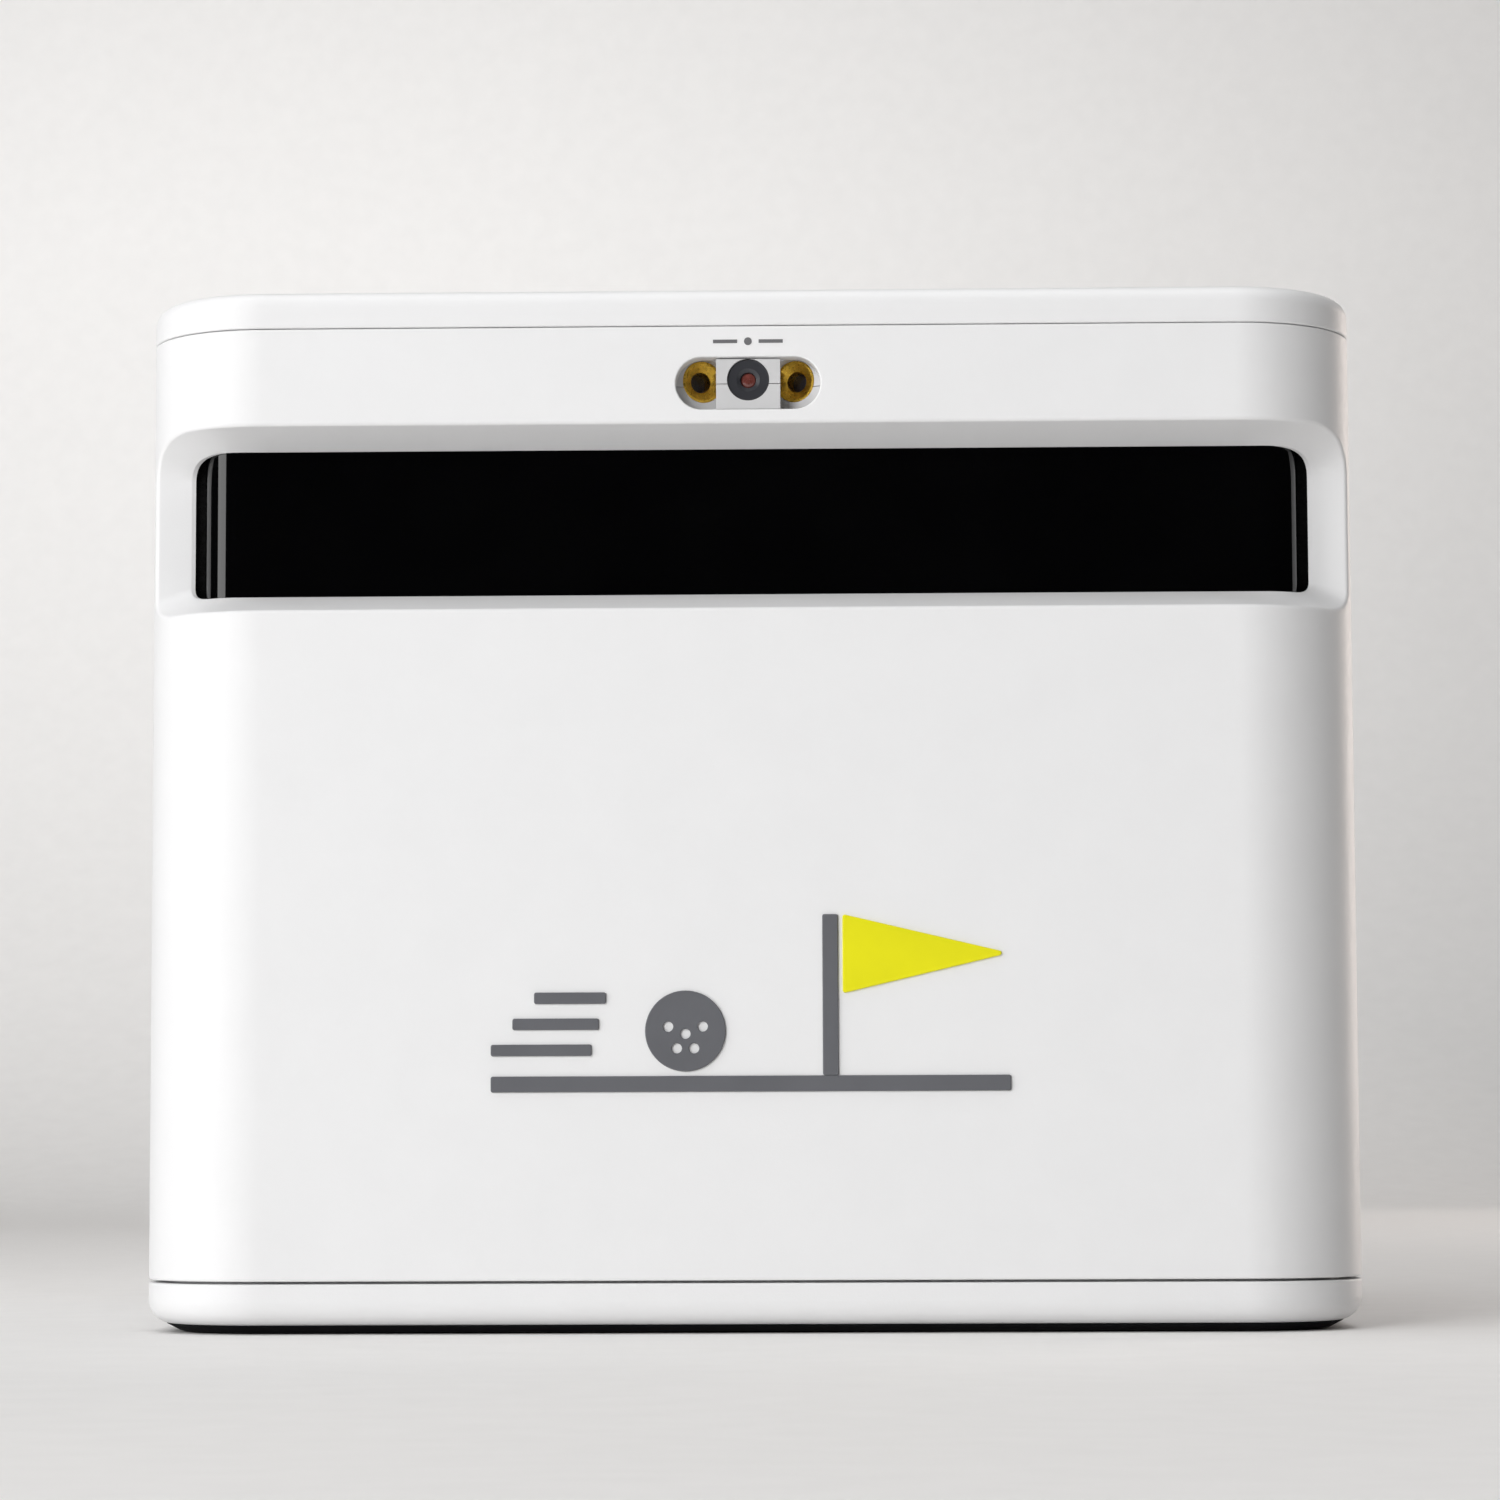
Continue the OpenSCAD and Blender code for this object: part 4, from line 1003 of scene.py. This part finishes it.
def build_sensor():
    """Round charcoal bezel with a small dull red filter at its centre."""
    low, high = mm_box("sensor_bezel")
    centre = middle("sensor_bezel")
    face = Vector((centre.x, low.y, centre.z))
    radius = (high.x - low.x) / 2
    hole_r = 1.1
    depth = high.y - low.y
    shell = Shell()
    profile = [(hole_r, -1.9), (hole_r, -0.25), (hole_r + 0.55, 0), (radius, 0), (radius, -depth),
               (0, -depth)]
    lathe(shell, face, FRONT, profile, [0.1, 0.1, 0.25, 0], bored=True, segments=64)
    shell.piece("sensor_ring", "case", sensor_charcoal, "sensor_charcoal", "sensor_bezel")
    low, high = mm_box("sensor_filter")
    shell = Shell()
    profile = [(0, 0), (0.7, -0.05), (hole_r, -0.22), (hole_r, low.y - high.y), (0, low.y - high.y)]
    lathe(shell, Vector((centre.x, low.y, centre.z)), FRONT, profile, [1.2, 0.3, 0], facing=FRONT)
    shell.piece("sensor_eye", "case", sensor_red, "sensor_red", "sensor_filter")


build_sensor()

# ---------------------------------------------------------------- emblem

emblem_low, emblem_high = mm_box("emblem_grey")
pennant_low, pennant_high = mm_box("emblem_yellow")
EMBLEM_T = -BODY_HALF_D - emblem_low.y
EMBLEM_EDGE = 0.16


def bar(low, high):
    return soft_polygon([low, (high[0], low[1]), high, (low[0], high[1])], 0.3)


def build_emblem():
    """Golf pictogram: ground line, flag pole, ball with dimples, three bars and a pennant."""
    place = front_place(-BODY_HALF_D)
    shell = Shell()
    left, right_end, base = emblem_low.x, emblem_high.x, emblem_low.z
    pole = pennant_low.x - 2.8
    line = 2.2
    ball_x, ball_r = -9, 5.6
    ball_z = base + line + ball_r + 0.6
    loops = [bar((left, base), (right_end, base + line)),
             bar((pole, base + line + 0.001), (pole + line, emblem_high.z))]
    for i in range(3):
        start = (left + i * 3, base + 5 + i * 3.6)
        end = (left + i * 3 + 14 - i * 2, base + 6.6 + i * 3.6)
        loops.append(bar(start, end))
    for loop in loops:
        plate(shell, place, loop, -EMBLEM_T, 0, EMBLEM_EDGE, margin=0.25)
    dimples = [(x * 2.4, abs(x) - 0.4) for x in (-1, 0, 1)] + [(x * 1.2, -2.4) for x in (-1, 1)]
    holes = [(disc(ball_x + x, ball_z + z, 0.7, 6), 0.12, [(0, 0)]) for x, z in dimples]
    plate(shell, place, disc(ball_x, ball_z, ball_r, 16), -EMBLEM_T, 0, EMBLEM_EDGE, holes, margin=0.25)
    shell.piece("emblem_lines", "case", emblem_grey, "emblem_grey", "emblem_grey")
    shell = Shell()
    pennant = [(pennant_low.x, pennant_low.z), (pennant_high.x, (pennant_low.z + pennant_high.z) / 2),
               (pennant_low.x, pennant_high.z)]
    plate(shell, place, soft_polygon(pennant, 0.35), -EMBLEM_T, 0, EMBLEM_EDGE, margin=0.25)
    shell.piece("emblem_pennant", "case", emblem_yellow, "emblem_yellow", "emblem_yellow")


build_emblem()

# ---------------------------------------------------------------- rear panel and controls

power_x, reset_x = middle("power_button").x, middle("reset_button").x
port_x = middle("usb_receptacle").x
power_low, power_high = mm_box("power_button")
lights_low, lights_high = mm_box("status_lights")
LIGHT_XS = [3, 10, 17]
POWER_R, RESET_R = 6.5, 1.7
RESET_COLLAR = (74.9, 77.0)


def port_loop(half_w, half_h, r):
    return oblong((port_x - half_w, panel_z - half_h), (port_x + half_w, panel_z + half_h),
                  [(r, r)] * 4, arc_steps=6)


def build_panel():
    """Dark panel with the bores for its buttons, lights and screws and a tunnel for the charging plug."""
    shell = Shell()
    place = back_place(panel_y)
    thick, margin = 2.4, 0.7
    port_deep, port_wall = 6, 1.6
    border = oblong((-PANEL_HALF_W, panel_z - PANEL_HALF_H), (PANEL_HALF_W, panel_z + PANEL_HALF_H),
                    [(PANEL_R, PANEL_R)] * 4)
    screw_x = PANEL_HALF_W - 1.35
    simple = [(disc(power_x, panel_z, POWER_R + 1.3), 0.25, [(0, 1.6), (1.0, 1.6), (1.0, thick)]),
              (disc(reset_x, panel_z, RESET_R + 0.3, 8), 0.35, [(0, thick)])]
    simple += [(disc(x, panel_z, 1.34, 6), 0.12, [(0, thick)]) for x in LIGHT_XS]
    small_margin = 0.2
    simple += [(disc(side * screw_x, panel_z, 1.12, 6), 0.1, [(0, thick)]) for side in (-1, 1)]
    mouth, throat = port_loop(5.5, 3.5, 1.4), port_loop(3.95, 1.55, 0.9)
    margins = [margin] * 2 + [small_margin] * (len(simple) - 2)
    fronts = [shifted(h[0], -m) for h, m in zip(simple, margins)] + [shifted(mouth, -margin)]
    backs = [shifted(h[0], h[2][-1][0]) for h in simple] + [shifted(mouth, -port_wall)]
    edge_margin = 0.18
    flat_part(shell, place, 0, shifted(border, edge_margin), fronts)
    edge_walls(shell, place, border, 0, [(0, thick)], [0.16], -edge_margin)
    flat_part(shell, place, thick, border, backs, look=-1)
    for (loop, radius, stops), m in zip(simple, margins):
        edge_walls(shell, place, loop, 0, stops, [radius] + [0] * (len(stops) - 1), m)
    columns = [on_loop(place, mouth, 0, -margin), on_loop(place, mouth, 0), on_loop(place, mouth, port_deep),
               on_loop(place, throat, port_deep), on_loop(place, throat, port_deep + 1),
               on_loop(place, mouth, port_deep + 1, -port_wall), on_loop(place, mouth, thick, -port_wall)]
    sweep_columns(shell, columns, [0.5, 0.3, 0, 0, 0], [BACK] * len(mouth))
    return shell.piece("control_panel", "case", panel_dark, "panel_dark", "io_panel")


build_panel()


def build_controls():
    spun = turned("spun_aluminium", (0.70, 0.70, 0.72), 0.26, Vector((power_x, panel_y, panel_z)), BACK,
                  pitch=0.25, relief=0.006)
    shell = Shell()
    face = power_high.y
    rim_r = POWER_R + 1.4
    profile = [(0, -0.35), (4.4, -0.28), (5.6, 0), (POWER_R, 0), (POWER_R, -2.8), (rim_r, -2.8),
               (rim_r, -4.8),
               (1.6, -4.8), (1.6, power_low.y - face), (0, power_low.y - face)]
    lathe(shell, Vector((power_x, face, panel_z)), BACK, profile, [6, 0.6, 0.35, 0.1, 0.2, 0.2, 0.1, 0.2],
          facing=BACK, segments=72)
    shell.piece("power_cap", "power_key", spun, "button_aluminium", "power_button")

    ring_low, ring_high = mm_box("power_ring")
    shell = Shell()
    inner_r, outer_r = POWER_R + 0.3, POWER_R + 1.25
    deep = ring_low.y - ring_high.y
    profile = [((inner_r + outer_r) / 2, 0), (outer_r, 0), (outer_r, deep), (inner_r, deep), (inner_r, 0),
               ((inner_r + outer_r) / 2, 0)]
    lathe(shell, Vector((power_x, ring_high.y, panel_z)), BACK, profile, [0.2, 0.1, 0.1, 0.2],
          facing=BACK, segments=72)
    shell.piece("power_glow_ring", "case", light_guide, "light_guide", "power_ring")

    low, high = mm_box("reset_button")
    shell = Shell()
    collar_top, collar_end = high.y * -1 + RESET_COLLAR[1], high.y * -1 + RESET_COLLAR[0]
    collar_r, stem_r = RESET_R + 1, 1.6
    profile = [(0, -0.2), (1.0, -0.15), (RESET_R, 0), (RESET_R, collar_top), (collar_r, collar_top),
               (collar_r, collar_end), (stem_r, collar_end), (stem_r, low.y - high.y), (0, low.y - high.y)]
    lathe(shell, Vector((reset_x, high.y, panel_z)), BACK, profile, [0.6, 0.15, 0.05, 0.1, 0.1, 0.1, 0.2],
          facing=BACK)
    shell.piece("reset_cap", "reset_key", switch_grey, "switch_grey", "reset_button")

    shell = Shell()
    span = lights_high.y - lights_low.y
    lens_r, flange_r, tail_r = 1.3, 1.9, 1.0
    flange_top, flange_end = -2.5, -3.5
    profile = [(0, 0), (0.8, -0.12), (lens_r, -0.35), (lens_r, flange_top), (flange_r, flange_top),
               (flange_r, flange_end), (tail_r, flange_end), (tail_r, -span), (0, -span)]
    for x in LIGHT_XS:
        lathe(shell, Vector((x, lights_high.y, panel_z)), BACK, profile, [1.5, 0.3, 0.1, 0.1, 0.1, 0.1, 0.1],
              facing=BACK, segments=32)
    shell.piece("status_lenses", "case", light_guide, "light_guide", "status_lights")


build_controls()

# ---------------------------------------------------------------- levelling feet


def knurl_loop(cx, cy, r, grips, deep):
    """Loop round a wheel whose rim has shallow scallops."""
    per_grip = 8
    total = grips * per_grip
    ring = []
    for k in range(total):
        a = math.tau * k / total
        dip = max(0.0, math.cos(a * grips)) ** 2
        ring.append(Vector((cx + (r - deep * dip) * math.cos(a), cy + (r - deep * dip) * math.sin(a))))
    loop = []
    for before, here, after in zip(ring[-1:] + ring[:-1], ring, ring[1:] + ring[:1]):
        along = (after - before).normalized()
        loop.append((here.x, here.y, -along.y, along.x))
    return loop


def build_foot(name):
    wheel_low, wheel_high = mm_box("level_wheel_" + name)
    cx, cy = middle("level_stem_" + name).xy
    radius = wheel_high.x - cx
    hub_r, bore_r = 5.0, 3.05
    shell = Shell()
    place = top_place(wheel_high.z)
    border = knurl_loop(cx, cy, radius, 24, 0.6)
    bore, hub = disc(cx, cy, bore_r), disc(cx, cy, hub_r)
    margin = 0.55
    flat_part(shell, place, 0, shifted(border, margin), [shifted(bore, -margin)])
    edge_walls(shell, place, border, 0, [(0, WHEEL_T)], [0.4], -margin)
    under = wheel_high.z - wheel_low.z
    hub_wall = 1.95
    flat_part(shell, place, WHEEL_T, border, [hub], look=-1)
    stops = [(0, under), (-hub_wall, under), (-hub_wall, WHEEL_T)]
    edge_walls(shell, place, bore, 0, stops, [0.3, 0, 0.2], margin)
    shell.piece("thumbwheel_" + name, "wheel_" + name, wheel_dark, "wheel_dark", "level_wheel_" + name)

    stem_low, stem_high = mm_box("level_stem_" + name)
    stem_r, thread, pitch = 3.0, 0.35, 2.0
    shell = Shell()
    profile = [(0, 0), (7.6, 0), (7.6, 0.8), (stem_r, 0.8)]
    radii = [0.1, 0.2, 0.1]
    z = 1.4
    length = stem_high.z - stem_low.z
    while z + pitch < length - 0.4:
        profile += [(stem_r, z), (stem_r - thread, z + 0.45 * pitch), (stem_r - thread, z + 0.55 * pitch)]
        radii += [0.1, 0.1, 0.1]
        z += pitch
    profile += [(stem_r, z), (stem_r, length), (0, length)]
    radii += [0.1, 0.3]
    lathe(shell, Vector((cx, cy, stem_low.z)), UP, profile, radii[:len(profile) - 2],
          facing=DOWN, segments=40, steps=2)
    shell.piece("foot_stem_" + name, "foot_" + name, screw_steel, "screw_steel", "level_stem_" + name)

    pad_low, pad_high = mm_box("level_pad_" + name)
    shell = Shell()
    thick = pad_high.z - pad_low.z
    profile = [(0, 0), (4.4, 0), (4.6, 0.12), (5.2, 0.12), (5.4, 0), (7.6, 0), (7.6, thick), (0, thick)]
    lathe(shell, Vector((cx, cy, pad_low.z)), UP, profile, [0.05, 0.05, 0.05, 0.05, 0.25, 0.1], facing=DOWN)
    shell.piece("foot_pad_" + name, "foot_" + name, pad_rubber, "pad_rubber", "level_pad_" + name)


build_foot("left")
build_foot("right")

# ---------------------------------------------------------------- CAD nodes that stay

SOFT_EDGES = {
    "laser_holder_upper": 0.1, "laser_holder_lower": 0.1, "battery_bracket": 0.4, "optical_chassis": 0.4,
    "heat_sink": 0.15, "level_yokes": 0.4, "main_chips": 0.15, "wireless_board": 0.1, "window_clamp": 0.2,
}

for name, node in frame["nodes"].items():
    if node.hide_render:
        continue
    node.data.materials.clear()
    node.data.materials.append(FINISHES[slot_of[name]])
    if name in SOFT_EDGES:
        weld = node.modifiers.new("weld", "WELD")
        weld.merge_threshold = 1e-6
        bevel = node.modifiers.new("soft_edges", "BEVEL")
        bevel.width = SOFT_EDGES[name] * MM
        bevel.segments = 3
        bevel.limit_method = "ANGLE"
        bevel.angle_limit = math.radians(35)
        bevel.harden_normals = True
